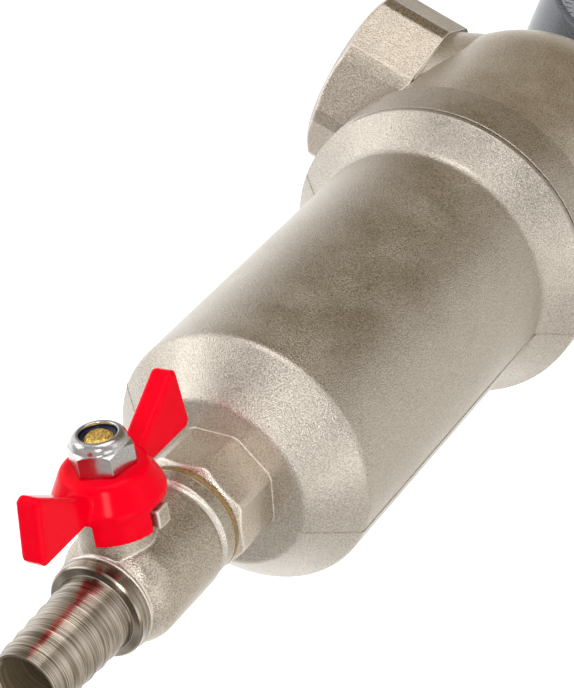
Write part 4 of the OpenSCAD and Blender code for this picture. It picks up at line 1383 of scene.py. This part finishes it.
@dataclass
class Cartridge:
    """Screen and seals inside the bowl, and the wet parts inside the valve."""

    bench: Bench

    def build(self) -> None:
        """Paints the inner solids."""
        for node, finish in (
            ("screen_mesh", STAINLESS),
            ("screen_cage", STAINLESS),
            ("screen_top_ring", WHITE_PLASTIC),
            ("screen_end_plate", WHITE_PLASTIC),
            ("throat_seal", SEAL_RUBBER),
            ("bowl_gasket", SEAL_RUBBER),
            ("upper_seat", WAXY_WHITE),
            ("lower_seat", WAXY_WHITE),
            ("stem_washer", WAXY_WHITE),
            ("stem_rings", SEAL_RUBBER),
            ("ball", BALL_CHROME),
        ):
            self.bench.paint_node(node, finish)


@dataclass(frozen=True)
class Lamp:
    """A square soft lamp that faces a point."""

    name: str
    spot: Spot
    size: float
    watts: float
    target: Spot = (0.04, 0.0, -0.08)

    def build(self) -> None:
        """Hangs the lamp."""
        data = bpy.data.lights.new(self.name, "AREA")
        data.size = self.size
        data.energy = self.watts
        made = Bench.show(self.name, data)
        made.location = self.spot
        way = Vector(self.target) - Vector(self.spot)
        made.rotation_euler = way.to_track_quat("-Z", "Y").to_euler()


@dataclass(frozen=True)
class SkySide:
    """A side of the room with a tone of its own, which starts at a cosine from its middle."""

    tone: Colour
    way: Spot
    start: float


@dataclass
class Studio:
    """Pale floor, soft light and the camera at the photo's angle."""

    camera_at: Spot = (0.14337, -0.34874, -0.47633)
    camera_turn: Spot = (146.3587, -28.7563, -18.2026)
    focal_px: float = 2833.6
    picture_h_px: float = 688.0
    sensor: float = 36.0
    clip_start: float = 0.01
    floor_z: float = -0.9
    floor_half: float = 12.0
    floor_tones: tuple[Colour, Colour] = ((0.66, 0.66, 0.66), (0.70, 0.70, 0.70))
    floor_blotch: float = 0.4
    # Colour painted on the far floor: painted light that fades it into the bright surroundings.
    floor_far: Colour = (0.97, 0.97, 0.97)
    floor_fade: tuple[float, float] = (1.2, 4.0)
    floor_roughness: float = 0.8
    sky: Colour = (1.4, 1.4, 1.4)
    side_full: float = 0.95
    sides: tuple[SkySide, ...] = (
        SkySide((0.86, 0.83, 0.76), (0.8, 0.2, 0.55), 0.5),
        SkySide((0.29, 0.235, 0.16), (-0.2, -0.65, 0.73), 0.36),
    )
    lamps: tuple[Lamp, ...] = (
        Lamp("front_window", (-0.18, -0.95, -0.1), 0.7, 2.8),
        Lamp("left_window", (-0.86, -0.1, -0.48), 0.6, 1.9),
        Lamp("right_window", (0.84, -0.12, -0.58), 0.5, 1.1),
        Lamp("low_box", (0.13, -0.25, -0.53), 0.09, 0.45, (0.033, -0.018, -0.158)),
    )

    def build(self) -> None:
        """Sets up camera, floor, sky and lamps."""
        self._camera()
        self._floor()
        self._sky()
        for lamp in self.lamps:
            lamp.build()
        bpy.context.scene.view_settings.view_transform = "Standard"

    def _camera(self) -> None:
        """Places the camera."""
        data = bpy.data.cameras.new("photo_camera")
        data.sensor_width = self.sensor
        data.lens = self.focal_px / self.picture_h_px * self.sensor
        data.clip_start = self.clip_start
        made = Bench.show("photo_camera", data)
        made.location = self.camera_at
        made.rotation_euler = [math.radians(a) for a in self.camera_turn]
        bpy.context.scene.camera = made

    def _floor(self) -> None:
        """Lays the floor below the hanging filter, painted paler with the distance: painted light that
        fades it into the bright surroundings.
        """
        ends = (-self.floor_half, self.floor_half)
        corners = [(ends[x], ends[y], self.floor_z) for x, y in ((0, 0), (1, 0), (1, 1), (0, 1))]
        mesh = bpy.data.meshes.new("floor")
        mesh.from_pydata(corners, [], [(0, 1, 2, 3)])
        shader = Shader("floor_paper")
        reach = shader.node("ShaderNodeVectorMath", {"operation": "LENGTH"}, {0: shader.place})
        # Paler with the distance from the middle: painted light that fades the floor into the bright
        # surroundings.
        far = shader.between(shader.out(reach, "Value"), *self.floor_fade)
        near = shader.mix(shader.noise(self.floor_blotch, 2.0), *self.floor_tones)
        shader.set(Base_Color=shader.mix(far, near, self.floor_far), Roughness=self.floor_roughness)
        mesh.materials.append(shader.material)
        Bench.show("floor", mesh)

    def _sky(self) -> None:
        """Makes the room white, with a dark warm side high in front and a dim one at the right."""
        world = bpy.data.worlds.new("studio")
        world.use_nodes = True
        graph = Graph(world.node_tree)
        graph.tree.nodes.clear()
        way = graph.out(graph.node("ShaderNodeTexCoord"), "Generated")
        colour: object = self.sky
        for side in self.sides:
            sockets = {0: way, 1: tuple(Vector(side.way).normalized())}
            toward = graph.node("ShaderNodeVectorMath", {"operation": "DOT_PRODUCT"}, sockets)
            share = graph.between(graph.out(toward, "Value"), side.start, self.side_full)
            colour = graph.mix(share, colour, side.tone)
        light = graph.node("ShaderNodeBackground", {}, {"Color": colour, "Strength": 1.0})
        graph.node("ShaderNodeOutputWorld", {}, {"Surface": graph.out(light)})
        bpy.context.scene.world = world


def main() -> None:
    """Builds the sub-assemblies in order and reports them."""
    logging.basicConfig(level=logging.INFO, format="%(name)s: %(message)s")
    Studio().build()
    bench = Bench()
    for kind in (Castings, HoseTail, DrainValve, Gauge, Cartridge):
        kind(bench).build()
        LOG.info("finished %s", kind.__name__)


if __name__ == "__main__":
    main()
